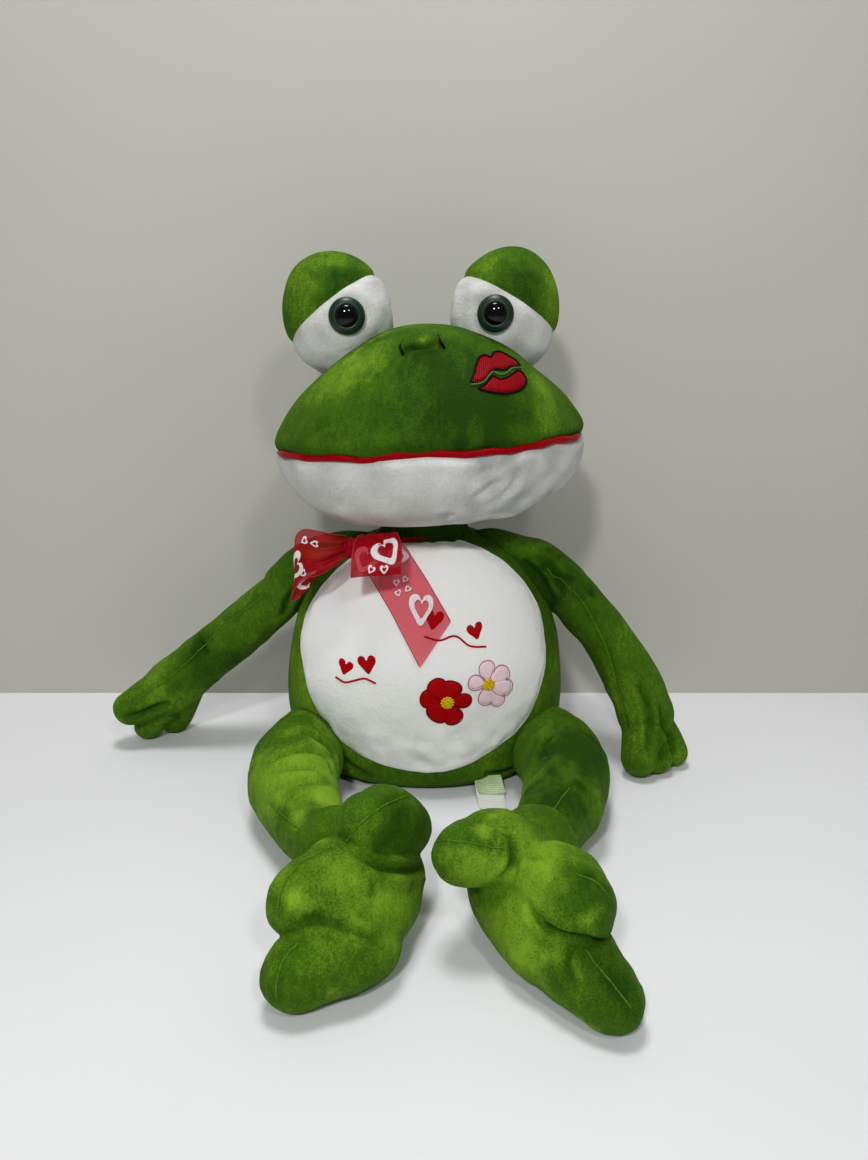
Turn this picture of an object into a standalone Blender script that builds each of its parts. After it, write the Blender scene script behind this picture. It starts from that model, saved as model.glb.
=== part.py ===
"""A large plush frog that sits on a table, built from its sewn covers, stuffing, eyes and ribbon.

Units are metres. +Z is up, +X is the frog's left and -Y is the way it faces.
The origin is the middle of the flat seat, on the table.
"""

import math

import bmesh
import bpy
from mathutils import Matrix, Vector, geometry

# Fabric and clearances
PLUSH_THICKNESS = 0.0030
PIECE_GAP = 0.0003
TABLE_CUT = 0.0005
CUT_OVERRUN = 0.020

# Torso, a pear shape that leans back a little towards the neck
TORSO_HEIGHT = 0.208
TORSO_WIDTH = 0.238
TORSO_DEPTH = 0.188
TORSO_LEAN = 0.012
TORSO_SIDE_SEAM_Y = 0.0240
TORSO_SIDES = 20
TORSO_LINING_SIDES = 8
# Each row: share of the height, then shares of the half width, the front half depth and the back half depth
TORSO_STATION_SHARES = (
    (0.004, 0.74, 0.68, 0.78),
    (0.060, 0.90, 0.83, 0.88),
    (0.200, 0.99, 0.94, 0.95),
    (0.425, 0.995, 1.00, 0.93),
    (0.615, 0.92, 0.95, 0.83),
    (0.755, 0.83, 0.84, 0.72),
    (0.850, 0.71, 0.72, 0.62),
    (0.925, 0.54, 0.56, 0.48),
    (0.976, 0.32, 0.33, 0.30),
)

# White belly patch, set into the front of the torso
BELLY_WIDTH = 0.202
BELLY_HEIGHT = 0.180
BELLY_BELOW_TOP = 0.096
BELLY_CENTRE_Z = TORSO_HEIGHT - BELLY_BELOW_TOP
BELLY_SIDES = 20

# Head, a wide bun of a green dome over a white jaw
HEAD_WIDTH = 0.250
HEAD_FRONT_REACH = 0.105
HEAD_BACK_REACH = 0.093
HEAD_DOME_HEIGHT = 0.092
HEAD_JAW_DROP = 0.066
HEAD_SIDES = 20
HEAD_LINING_SIDES = 8
HEAD_SIDE_SEAM_Y = 0.030
HEAD_ROLL_DEG = -3.4
HEAD_SIDE_SHIFT = 0.004
MOUTH_ABOVE_NECK = 0.067
# Each row: share of the dome's height, then shares of the half width, the front reach and the back reach
HEAD_DOME_SHARES = (
    (0.05, 0.995, 1.00, 1.00),
    (0.24, 0.925, 0.96, 0.97),
    (0.45, 0.800, 0.88, 0.91),
    (0.65, 0.640, 0.74, 0.82),
    (0.82, 0.460, 0.55, 0.66),
    (0.94, 0.260, 0.31, 0.42),
)
# The same below the mouth, as shares of the jaw's drop
HEAD_JAW_SHARES = (
    (0.05, 0.995, 0.995, 0.98),
    (0.30, 0.975, 0.98, 0.93),
    (0.60, 0.875, 0.89, 0.82),
    (0.83, 0.680, 0.70, 0.65),
    (0.95, 0.400, 0.42, 0.42),
)

# Red strip sewn into the mouth seam
MOUTH_STRIP_HEIGHT = 0.0050
MOUTH_STRIP_PROUD = 0.0010
MOUTH_STRIP_BACK_Y = -0.022

# Neck, a ball of stuffing that both the head and the torso seat on
NECK_RADIUS = 0.034
NECK_SET_BACK = 0.012
NECK_ABOVE_TORSO = 0.004

# Eye bulbs on top of the head, placed from the middle of the mouth
EYE_BULB_WIDTH = 0.087
EYE_BULB_DEPTH = 0.074
EYE_BULB_HEIGHT = 0.100
EYE_BULB_SPREAD = 0.0670
EYE_BULB_RISE_RIGHT = 0.1020
EYE_BULB_RISE_LEFT = 0.0970
EYE_BULB_SET_BACK = 0.012
EYE_BULB_SPLAY_DEG = 17.0
EYE_BULB_SIDES = 12
EYE_LINING_SIDES = 8
# Each row: share of the half height from the middle, then share of the half width and half depth
EYE_BULB_SHARES = ((-0.72, 0.68), (-0.30, 0.96), (0.08, 1.0), (0.42, 0.90), (0.72, 0.66), (0.92, 0.36))
EYELID_TILT_DEG = 34.0
EYELID_LEAN_DEG = 9.0
EYELID_ABOVE_MIDDLE = 0.0050

# Plastic safety eyes
SAFETY_EYE_DIAMETER = 0.0280
SAFETY_EYE_HEIGHT = 0.0050
SAFETY_EYE_RIM = 0.0016
PUPIL_DIAMETER = 0.0180
PUPIL_DEPTH = 0.0026
PUPIL_RISE = 0.0022
PUPIL_DOME_ANGLES_DEG = (0.0, 32.0, 62.0)
EYE_SHANK_DIAMETER = 0.0050
EYE_SHANK_LENGTH = 0.0150
EYE_WASHER_DIAMETER = 0.0160
EYE_WASHER_THICKNESS = 0.0015
EYE_WASHER_BACK_OFF = 0.0050
SAFETY_EYE_INWARD = 0.0105
SAFETY_EYE_DOWN = 0.0020
SAFETY_EYE_TURN_DEG = 5.0
EYE_TURNED_SIDES = 16

# Limbs are round tubes, with a coarser lining inside
LIMB_SIDES = 10
TOE_SIDES = 8
FINGER_SIDES = 6
LINING_SIDES = 6
BALL_SIDES = 10
DOME_ANGLES_DEG = (62.0, 33.0)
PLAIN_DOME_ANGLES_DEG = (50.0,)

# Arms, from the middle of the shoulder
ARM_LENGTH = 0.245
ARM_RADIUS = 0.0220
SHOULDER_RADIUS = 0.0260
SHOULDER_SPREAD = 0.088
SHOULDER_BELOW_TOP = 0.040
SHOULDER_HEIGHT = TORSO_HEIGHT - SHOULDER_BELOW_TOP
SHOULDER_Y = 0.014
SHOULDER_LIFT_DEG = 50.0
FINGER_RADIUS = 0.0130
ARM_RADIUS_SHARES = (1.0, 1.0, 1.02, 1.06, 1.10)
# Points along each arm and the root and tip of each finger, as shares of the arm's length
RIGHT_ARM_SHARES = (
    (-0.02, 0.00, -0.01),
    (-0.13, 0.012, -0.085),
    (-0.305, 0.028, -0.235),
    (-0.46, 0.037, -0.360),
    (-0.59, 0.045, -0.470),
)
RIGHT_FINGER_SHARES = (
    ((-0.60, 0.010, -0.47), (-0.725, 0.010, -0.535)),
    ((-0.58, 0.060, -0.50), (-0.690, 0.075, -0.640)),
    ((-0.54, 0.110, -0.50), (-0.610, 0.135, -0.640)),
)
LEFT_ARM_SHARES = (
    (0.02, 0.00, -0.01),
    (0.165, -0.010, -0.105),
    (0.285, -0.050, -0.245),
    (0.365, -0.105, -0.375),
    (0.415, -0.150, -0.490),
)
LEFT_FINGER_SHARES = (
    ((0.40, -0.185, -0.49), (0.390, -0.235, -0.615)),
    ((0.43, -0.165, -0.52), (0.450, -0.210, -0.640)),
    ((0.45, -0.115, -0.50), (0.525, -0.150, -0.640)),
)

# Legs, from the middle of the hip
LEG_LENGTH = 0.180
LEG_RADIUS = 0.0345
HIP_RADIUS = 0.0345
HIP_SPREAD = 0.090
HIP_Y = -0.040
HIP_LIFT_DEG = 20.0
LEG_RADIUS_SHARES = (0.84, 0.95, 1.0, 0.86, 0.66)
RIGHT_LEG_SHARES = (
    (0, 0, 0),
    (-0.036, -0.133, 0),
    (-0.058, -0.361, 0),
    (0.017, -0.639, 0),
    (0.133, -0.878, 0),
)
LEFT_LEG_SHARES = (
    (0, 0, 0),
    (0.072, -0.1, 0),
    (0.111, -0.289, 0),
    (0.061, -0.589, 0),
    (-0.044, -0.867, 0),
)

# Feet, from the middle of the ankle at the end of the leg
ANKLE_RADIUS = 0.0280
FOOT_LENGTH = 0.130
FOOT_PAD_RADIUS = 0.0310
FOOT_PAD_TAPER_SHARES = (0.96, 1.0, 0.98, 0.86)
TOE_RADIUS = 0.0245
TOE_SIZE_SHARES = (1.06, 1.0, 0.96)
TOE_TAPER_SHARES = (0.92, 1.0, 0.94)
HEEL_CUT_FORWARD = 0.0020
# The line of the heel and pad, then each toe's root, middle and tip, as shares of the foot's length
RIGHT_PAD_SHARES = (
    (0.077, -0.092, -0.02), (0.277, -0.246, -0.04), (0.246, -0.508, -0.04), (0.162, -0.723, -0.07),
)
RIGHT_TOE_SHARES = (
    ((0.415, -0.185, 0.169), (0.354, -0.308, 0.277), (0.292, -0.4, 0.323)),
    ((0.262, -0.462, 0.092), (0.123, -0.531, 0.138), (0.015, -0.592, 0.138)),
    ((0.246, -0.692, -0.11), (0.138, -0.769, -0.11), (0.038, -0.838, -0.11)),
)
LEFT_PAD_SHARES = (
    (-0.062, -0.085, -0.02), (-0.169, -0.277, -0.04), (-0.138, -0.508, -0.04), (-0.054, -0.715, -0.07),
)
LEFT_TOE_SHARES = (
    ((-0.2, -0.415, 0.169), (-0.3, -0.469, 0.231), (-0.385, -0.515, 0.246)),
    ((-0.077, -0.538, 0.138), (-0.015, -0.662, 0.2), (0.015, -0.754, 0.215)),
    ((-0.062, -0.723, -0.11), (0.038, -0.846, -0.11), (0.123, -0.954, -0.12)),
)

# Appliqués: a kiss mark on the snout and two flowers on the belly
APPLIQUE_THICKNESS = 0.0014
KISS_WIDTH = 0.046
KISS_X = 0.0560
KISS_RISE = 0.0500
KISS_TURN_DEG = 14.0
UPPER_LIP_SHARES = (
    (-0.50, -0.05), (-0.34, 0.24), (-0.14, 0.36), (-0.03, 0.29), (0.10, 0.37), (0.32, 0.24),
    (0.48, 0.03), (0.24, 0.03), (0.13, -0.05), (-0.05, -0.02), (-0.22, -0.06),
)
LOWER_LIP_SHARES = (
    (-0.36, -0.13), (-0.20, -0.12), (-0.03, -0.08), (0.13, -0.11), (0.27, -0.04), (0.47, -0.04),
    (0.37, -0.24), (0.17, -0.35), (-0.10, -0.35), (-0.27, -0.27),
)
FLOWER_PETALS = 6
FLOWER_POINTS_PER_PETAL = 6
FLOWER_PETAL_NOTCH_SHARE = 0.72
FLOWER_CENTRE_SHARE = 0.26
FLOWER_CENTRE_SIDES = 16
RED_FLOWER_RADIUS = 0.0205
RED_FLOWER_X = 0.0155
RED_FLOWER_DROP_SHARE = 0.12778
RED_FLOWER_Z = BELLY_CENTRE_Z - BELLY_HEIGHT * RED_FLOWER_DROP_SHARE
PINK_FLOWER_RADIUS = 0.0185
PINK_FLOWER_X = 0.0490
PINK_FLOWER_DROP_SHARE = 0.04444
PINK_FLOWER_Z = BELLY_CENTRE_Z - BELLY_HEIGHT * PINK_FLOWER_DROP_SHARE

# Organza ribbon, tied in a bow on the frog's right
RIBBON_WIDTH = 0.037
RIBBON_THICKNESS = 0.0007
RIBBON_BAND_HEIGHT = 0.0070
RIBBON_BAND_BELOW_TOP = 0.0135
RIBBON_BAND_Z = TORSO_HEIGHT - RIBBON_BAND_BELOW_TOP
KNOT_X = -0.0560
KNOT_Y = -0.0620
KNOT_BELOW_TOP = 0.0050
KNOT_Z = TORSO_HEIGHT - KNOT_BELOW_TOP
KNOT_WIDTH = 0.0120
KNOT_HEIGHT = 0.0170
KNOT_DEPTH = 0.0100
SIDE_LOOP_TIP_X = -0.1000
SIDE_LOOP_TIP_Y = -0.0600
SIDE_LOOP_DROP = 0.0350
SIDE_LOOP_TIP_Z = KNOT_Z - SIDE_LOOP_DROP
FRONT_LOOP_TIP_X = -0.0130
FRONT_LOOP_TIP_Y = -0.0880
FRONT_LOOP_DROP = 0.0100
FRONT_LOOP_TIP_Z = KNOT_Z - FRONT_LOOP_DROP
RIBBON_LOOP_DEPTH = 0.0070
# Each row: share of the way from the knot to the loop's tip, share of the loop's depth, share of the width
RIBBON_LOOP_SHARES = (
    (0.02, 0.20, 0.42), (0.25, 0.75, 0.80), (0.55, 1.00, 1.00), (0.85, 0.80, 1.00), (1.00, 0.00, 1.00),
    (0.85, -0.75, 1.00), (0.50, -0.70, 0.95), (0.22, -0.45, 0.75), (0.02, -0.20, 0.42),
)
RIBBON_TAIL_ACROSS = 0.0680
RIBBON_TAIL_DROP = 0.0680
RIBBON_TAIL_CLEAR = 0.0020
# Each row: shares of the tail's reach across and down from the knot, then share of the width
RIBBON_TAIL_SHARES = (
    (0.02, 0.10, 0.30), (0.20, 0.15, 0.50), (0.38, 0.26, 0.85),
    (0.58, 0.48, 1.00), (0.78, 0.74, 1.00), (0.97, 1.00, 1.00),
)

# Sewn-in labels at the crotch
LABEL_WIDTH = 0.024
LABEL_THICKNESS = 0.0008
LABEL_X = 0.052
MAKER_LABEL_LENGTH = 0.022
CARE_LABEL_LENGTH = 0.034
LABEL_HEIGHT = 0.010
LABEL_STEP = 0.0014
LABEL_SEAM_DEPTH = 0.0660

COLOURS = {
    "green_plush": ((0.085, 0.190, 0.012), 0.95, 0.0),
    "white_plush": ((0.740, 0.740, 0.720), 0.95, 0.0),
    "red_satin": ((0.480, 0.004, 0.012), 0.60, 0.0),
    "fibre_filling": ((0.820, 0.820, 0.800), 1.00, 0.0),
    "iris_plastic": ((0.008, 0.035, 0.018), 0.12, 0.0),
    "pupil_plastic": ((0.002, 0.002, 0.002), 0.06, 0.0),
    "washer_plastic": ((0.700, 0.700, 0.680), 0.45, 0.0),
    "red_thread": ((0.380, 0.003, 0.006), 0.55, 0.0),
    "pink_thread": ((0.800, 0.420, 0.500), 0.55, 0.0),
    "yellow_thread": ((0.750, 0.480, 0.020), 0.55, 0.0),
    "red_organza": ((0.420, 0.008, 0.025), 0.40, 0.0),
    "label_tape": ((0.800, 0.820, 0.760), 0.60, 0.0),
}


# Scene and material helpers

def clear_scene():
    for item in list(bpy.data.objects):
        bpy.data.objects.remove(item)


def material(name):
    found = bpy.data.materials.get(name)
    if found is None:
        colour, roughness, metallic = COLOURS[name]
        found = bpy.data.materials.new(name)
        found.use_nodes = True
        shader = found.node_tree.nodes["Principled BSDF"]
        shader.inputs["Base Color"].default_value = (*colour, 1.0)
        shader.inputs["Roughness"].default_value = roughness
        shader.inputs["Metallic"].default_value = metallic
        found.diffuse_color = (*colour, 1.0)
    return found


def add_object(name, mesh, finish=None, parent=None, matrix=None):
    """Links a mesh as an object, in its parent's space, and gives it its finish."""
    item = bpy.data.objects.new(name, mesh)
    bpy.context.scene.collection.objects.link(item)
    if parent is not None:
        item.parent = parent
    if matrix is not None:
        item.matrix_basis = matrix
    if finish is not None:
        mesh.materials.append(material(finish))
        mesh.shade_smooth()
    return item


def add_cutter(mesh, parent=None, matrix=None):
    """A shape that only cuts or joins others, so it is left out of the part."""
    item = add_object("cutter", mesh, None, parent, matrix)
    item.hide_render = True
    item.display_type = "WIRE"
    return item


def maker(name, finish, parent):
    """A function that makes a mesh into a piece of the part."""
    return lambda mesh: add_object(name, mesh, finish, parent)


def cutter_maker(parent):
    """A function that makes a mesh into a cutter."""
    return lambda mesh: add_cutter(mesh, parent)


def add_joint(name, location, parent=None):
    """An empty on a joint's axis, which carries the pieces that move with it."""
    empty = bpy.data.objects.new(name, None)
    bpy.context.scene.collection.objects.link(empty)
    empty.parent = parent
    empty.matrix_basis = Matrix.Translation(location)
    return empty


def boolean(item, other, operation):
    modifier = item.modifiers.new(operation.lower(), "BOOLEAN")
    modifier.operation = operation
    modifier.object = other
    modifier.solver = "EXACT"


def mesh_from(bm, name="shape"):
    bmesh.ops.recalc_face_normals(bm, faces=bm.faces)
    mesh = bpy.data.meshes.new(name)
    bm.to_mesh(mesh)
    bm.free()
    return mesh


# Shape helpers

def stack_rings(rings, low_pole, high_pole, inset=0.0):
    """A closed skin over rings of points, with a pole at each end, moved inwards by inset."""
    bm = bmesh.new()
    rows = [[bm.verts.new(point) for point in ring] for ring in rings]
    for lower, upper in zip(rows, rows[1:]):
        for k in range(len(lower)):
            after = (k + 1) % len(lower)
            bm.faces.new((lower[k], lower[after], upper[after]))
            bm.faces.new((lower[k], upper[after], upper[k]))
    for pole, row in ((low_pole, rows[0]), (high_pole, rows[-1])):
        centre = bm.verts.new(pole)
        for k in range(len(row)):
            bm.faces.new((centre, row[k], row[(k + 1) % len(row)]))
    bmesh.ops.recalc_face_normals(bm, faces=bm.faces)
    moved = [(vertex, vertex.co - vertex.normal * inset) for vertex in bm.verts]
    for vertex, place in moved:
        vertex.co = place
    return mesh_from(bm)


def oval_ring(centre, half_width, front, back, sides):
    """A level ring of points whose front and back halves have their own depths."""
    ring = []
    for k in range(sides):
        angle = math.tau * k / sides
        depth = back if math.sin(angle) > 0 else front
        ring.append(centre + Vector((half_width * math.cos(angle), depth * math.sin(angle), 0)))
    return ring


def tube_mesh(points, radii, sides, inset=0.0, domes=DOME_ANGLES_DEG):
    """A round sausage along points, with domed ends. A lining, with an inset, is plainer and thinner."""
    sides, domes = (LINING_SIDES, PLAIN_DOME_ANGLES_DEG) if inset > 0 else (sides, domes)
    dome_angles = [math.radians(angle) for angle in domes]
    radii = [radius - inset for radius in radii]
    tangents = []
    for k in range(len(points)):
        before, after = points[max(k - 1, 0)], points[min(k + 1, len(points) - 1)]
        tangents.append((after - before).normalized())
    first, last = points[0], points[-1]
    stations = []
    for angle in dome_angles:
        centre = first - tangents[0] * radii[0] * math.sin(angle)
        stations.append((centre, tangents[0], radii[0] * math.cos(angle)))
    stations += list(zip(points, tangents, radii))
    for angle in reversed(dome_angles):
        centre = last + tangents[-1] * radii[-1] * math.sin(angle)
        stations.append((centre, tangents[-1], radii[-1] * math.cos(angle)))
    across = tangents[0].cross(Vector((0, 0, 1))).normalized()
    rings = []
    for centre, tangent, radius in stations:
        across = (across - tangent * across.dot(tangent)).normalized()
        up = across.cross(tangent)
        turns = (math.tau * k / sides - math.pi / 2 for k in range(sides))
        rings.append([centre + (across * math.cos(a) + up * math.sin(a)) * radius for a in turns])
    return stack_rings(rings, first - tangents[0] * radii[0], last + tangents[-1] * radii[-1])


def turned_mesh(profile, sides, turn=None):
    """A solid of revolution about Z, from (radius, height) points that run from one end to the other."""
    bm = bmesh.new()
    rows = []
    for radius, height in profile:
        if radius == 0:
            rows.append([bm.verts.new((0, 0, height))])
            continue
        turns = (math.tau * k / sides for k in range(sides))
        rows.append([bm.verts.new((radius * math.cos(a), radius * math.sin(a), height)) for a in turns])
    for lower, upper in zip(rows, rows[1:]):
        for k in range(sides):
            corners = [lower[k % len(lower)], lower[(k + 1) % len(lower)]]
            corners += [upper[(k + 1) % len(upper)], upper[k % len(upper)]]
            bm.faces.new(list(dict.fromkeys(corners)))
    if turn is not None:
        bm.transform(turn)
    return mesh_from(bm)


def rod_profile(radius, low, high):
    return [(0, low), (radius, low), (radius, high), (0, high)]


def ball_profile(radius, sides, stretch=1.0, grow=0.0):
    steps = sides // 2
    angles = [math.pi * k / steps - math.pi / 2 for k in range(1, steps)]
    arc = [(radius * stretch * math.cos(a) + grow, (radius + grow) * math.sin(a)) for a in angles]
    return [(0, -radius - grow), *arc, (0, radius + grow)]


def ball_mesh(radius, axis, inset=0.0):
    """A ball whose facets run round its joint's axis, plainer where it is a lining."""
    sides = LINING_SIDES if inset > 0 else BALL_SIDES
    return turned_mesh(ball_profile(radius - inset, sides), sides, align_z(axis))


def socket_mesh(radius, axis):
    """The seat of such a ball, which its facets clear at every turn about the axis."""
    profile = ball_profile(radius, BALL_SIDES, 1 / math.cos(math.pi / BALL_SIDES), PIECE_GAP)
    half_step = Matrix.Rotation(math.pi / BALL_SIDES, 4, "Z")
    return turned_mesh(profile, BALL_SIDES, align_z(axis) @ half_step)


def align_z(direction):
    return Vector((0, 0, 1)).rotation_difference(Vector(direction)).to_matrix().to_4x4()


def box_mesh(low, high):
    bm = bmesh.new()
    bmesh.ops.create_cube(bm, size=1.0)
    for vertex in bm.verts:
        vertex.co = Vector([high[k] if vertex.co[k] > 0 else low[k] for k in range(3)])
    return mesh_from(bm)


def ring_mesh(inner, outer, low, high, sides):
    """A flat washer about Z."""
    bm = bmesh.new()
    rows = []
    for radius, height in ((inner, low), (outer, low), (outer, high), (inner, high)):
        turns = (math.tau * k / sides for k in range(sides))
        rows.append([bm.verts.new((radius * math.cos(a), radius * math.sin(a), height)) for a in turns])
    for lower, upper in zip(rows, rows[1:] + rows[:1]):
        for k in range(sides):
            after = (k + 1) % sides
            bm.faces.new((lower[k], lower[after], upper[after], upper[k]))
    return mesh_from(bm)


def hull_outline(points):
    """The outline of a string pulled tight round points, seen from above."""
    return [points[k] for k in geometry.convex_hull_2d([point.xy for point in points])]


def prism_mesh(outline, front_y, back_y):
    """An outline of (x, z) points carried along Y."""
    bm = bmesh.new()
    front = [bm.verts.new((x, front_y, z)) for x, z in outline]
    back = [bm.verts.new((x, back_y, z)) for x, z in outline]
    bm.faces.new(front)
    bm.faces.new(list(reversed(back)))
    for k in range(len(outline)):
        after = (k + 1) % len(outline)
        bm.faces.new((front[k], front[after], back[after], back[k]))
    return mesh_from(bm)


def strip_mesh(points, sides, widths, thickness):
    """A band of cloth along points, each with its own direction across the band and its own width."""
    bm = bmesh.new()
    rows = []
    for k, (point, side, width) in enumerate(zip(points, sides, widths)):
        tangent = (points[min(k + 1, len(points) - 1)] - points[max(k - 1, 0)]).normalized()
        side = (side - tangent * side.dot(tangent)).normalized()
        face = tangent.cross(side).normalized() * thickness / 2
        side = side * width / 2
        corners = (side + face, face - side, -side - face, side - face)
        rows.append([bm.verts.new(point + corner) for corner in corners])
    for lower, upper in zip(rows, rows[1:]):
        for k in range(4):
            after = (k + 1) % 4
            bm.faces.new((lower[k], lower[after], upper[after], upper[k]))
    bm.faces.new(rows[0])
    bm.faces.new(list(reversed(rows[-1])))
    return mesh_from(bm)


def scaled(shares, size):
    """Points given as shares of a size."""
    return [Vector(share) * size for share in shares]


def rest_on_table(points, radii, floor):
    """Lifts the points of a tube so that it sinks no deeper into the table than its flat needs."""
    return [Vector((p.x, p.y, max(p.z, floor + radius - TABLE_CUT))) for p, radius in zip(points, radii)]


def cut_at_table(item, floor):
    reach = TORSO_WIDTH
    below = box_mesh((-reach, -reach, floor - reach), (reach, reach, floor))
    boolean(item, add_cutter(below, item.parent), "DIFFERENCE")


def turn_about(point, axis, degrees):
    """A turn about an axis through a point."""
    place = Matrix.Translation(point)
    return place @ Matrix.Rotation(math.radians(degrees), 4, axis) @ place.inverted()


def cut_opening(item, direction, radius):
    """Opens a limb's cover where the stuffing goes in, on the side that faces the body."""
    bore = turned_mesh(rod_profile(radius / 2, 0, radius + CUT_OVERRUN), LINING_SIDES, align_z(direction))
    boolean(item, add_cutter(bore, item.parent), "DIFFERENCE")


# Where the joints are

NECK_POINT = Vector((0, NECK_SET_BACK, TORSO_HEIGHT + NECK_ABOVE_TORSO))
SIDES = {"right": -1, "left": 1}
EYE_BULB_RISES = {"right": EYE_BULB_RISE_RIGHT, "left": EYE_BULB_RISE_LEFT}
SHOULDERS = {
    side: Vector((sign * SHOULDER_SPREAD, SHOULDER_Y, SHOULDER_HEIGHT)) for side, sign in SIDES.items()
}
HIP_HEIGHT = LEG_RADIUS - TABLE_CUT
HIPS = {side: Vector((sign * HIP_SPREAD, HIP_Y, HIP_HEIGHT)) for side, sign in SIDES.items()}
KNOT_POINT = Vector((KNOT_X, KNOT_Y, KNOT_Z))
LEG_SHARES = {"right": RIGHT_LEG_SHARES, "left": LEFT_LEG_SHARES}
ANKLES = {side: HIPS[side] + scaled(LEG_SHARES[side], LEG_LENGTH)[-1] for side in SIDES}
ARM_AXES = {"right": Vector((0, 1, 0)), "left": Vector((0, -1, 0))}
LEG_AXIS = Vector((-1, 0, 0))
TURN_AXIS = Vector((0, 0, 1))


# Torso

def torso_mesh(inset=0.0):
    """The pear-shaped skin of the torso. A lining, with an inset, has fewer sides."""
    sides = TORSO_LINING_SIDES if inset > 0 else TORSO_SIDES
    depth = TORSO_DEPTH / 2
    rings = []
    for height, width, front, back in TORSO_STATION_SHARES:
        centre = Vector((0, TORSO_LEAN * height, TORSO_HEIGHT * height))
        rings.append(oval_ring(centre, TORSO_WIDTH / 2 * width, depth * front, depth * back, sides))
    return stack_rings(rings, Vector((0, 0, -TABLE_CUT)), Vector((0, TORSO_LEAN, TORSO_HEIGHT)), inset)


def torso_shares_at(z):
    """The row of the torso's station shares that belongs to a height above the table."""
    height = z / TORSO_HEIGHT
    for lower, upper in zip(TORSO_STATION_SHARES, TORSO_STATION_SHARES[1:]):
        if height <= upper[0] or upper is TORSO_STATION_SHARES[-1]:
            mix = (height - lower[0]) / (upper[0] - lower[0])
            return [low + (high - low) * mix for low, high in zip(lower, upper)]


def torso_front_y(x, z):
    """How far forward the torso's skin is at a place in the front view."""
    height, width, front, _ = torso_shares_at(z)
    across = min(abs(x) / (TORSO_WIDTH / 2 * width), 1.0)
    return TORSO_LEAN * height - TORSO_DEPTH / 2 * front * math.sqrt(1 - across ** 2)


def belly_outline(grow=0.0):
    points = []
    for k in range(BELLY_SIDES):
        angle = math.tau * (k + 0.5) / BELLY_SIDES
        x = (BELLY_WIDTH / 2 + grow) * math.cos(angle)
        points.append((x, BELLY_CENTRE_Z + (BELLY_HEIGHT / 2 + grow) * math.sin(angle)))
    return points


def cut_sockets(item):
    """Cuts the seats of the neck, shoulders and hips out of a piece of the torso."""
    seats = [(NECK_POINT, NECK_RADIUS, TURN_AXIS)]
    seats += [(SHOULDERS[side], SHOULDER_RADIUS, ARM_AXES[side]) for side in SIDES]
    seats += [(HIPS[side], HIP_RADIUS, LEG_AXIS) for side in SIDES]
    for point, radius, axis in seats:
        boolean(item, add_cutter(socket_mesh(radius, axis), None, Matrix.Translation(point)), "DIFFERENCE")


def build_torso():
    reach, edge = TORSO_WIDTH, PIECE_GAP / 2
    inner = add_cutter(torso_mesh(PLUSH_THICKNESS))
    front_half = add_cutter(box_mesh((-reach, -reach, 0), (reach, TORSO_SIDE_SEAM_Y - edge, reach)))
    back_half = add_cutter(box_mesh((-reach, TORSO_SIDE_SEAM_Y + edge, 0), (reach, reach, reach)))
    opening = add_cutter(prism_mesh(belly_outline(PIECE_GAP), -TORSO_DEPTH, 0))
    patch = add_cutter(prism_mesh(belly_outline(), -TORSO_DEPTH, 0))
    pieces = {
        "torso_front_cover": ("green_plush", ((front_half, "INTERSECT"), (opening, "DIFFERENCE"))),
        "torso_back_cover": ("green_plush", ((back_half, "INTERSECT"),)),
        "belly_patch": ("white_plush", ((patch, "INTERSECT"),)),
    }
    for name, (finish, cuts) in pieces.items():
        cover = add_object(name, torso_mesh(), finish)
        boolean(cover, inner, "DIFFERENCE")
        cut_sockets(cover)
        for cutter, operation in cuts:
            boolean(cover, cutter, operation)
    filling = add_object("torso_filling", torso_mesh(PLUSH_THICKNESS + PIECE_GAP), "fibre_filling")
    cut_sockets(filling)


# Head

def head_mesh(inset=0.0):
    """The skin of the head about the middle of its mouth. A lining, with an inset, has fewer sides."""
    sides = HEAD_LINING_SIDES if inset > 0 else HEAD_SIDES
    rows = [(-HEAD_JAW_DROP * low, wide, front, back) for low, wide, front, back in reversed(HEAD_JAW_SHARES)]
    rows += [(HEAD_DOME_HEIGHT * high, wide, front, back) for high, wide, front, back in HEAD_DOME_SHARES]
    rings = []
    for height, wide, front, back in rows:
        reaches = (HEAD_WIDTH / 2 * wide, HEAD_FRONT_REACH * front, HEAD_BACK_REACH * back)
        rings.append(oval_ring(Vector((0, 0, height)), *reaches, sides))
    return stack_rings(rings, Vector((0, 0, -HEAD_JAW_DROP)), Vector((0, 0, HEAD_DOME_HEIGHT)), inset)


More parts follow.
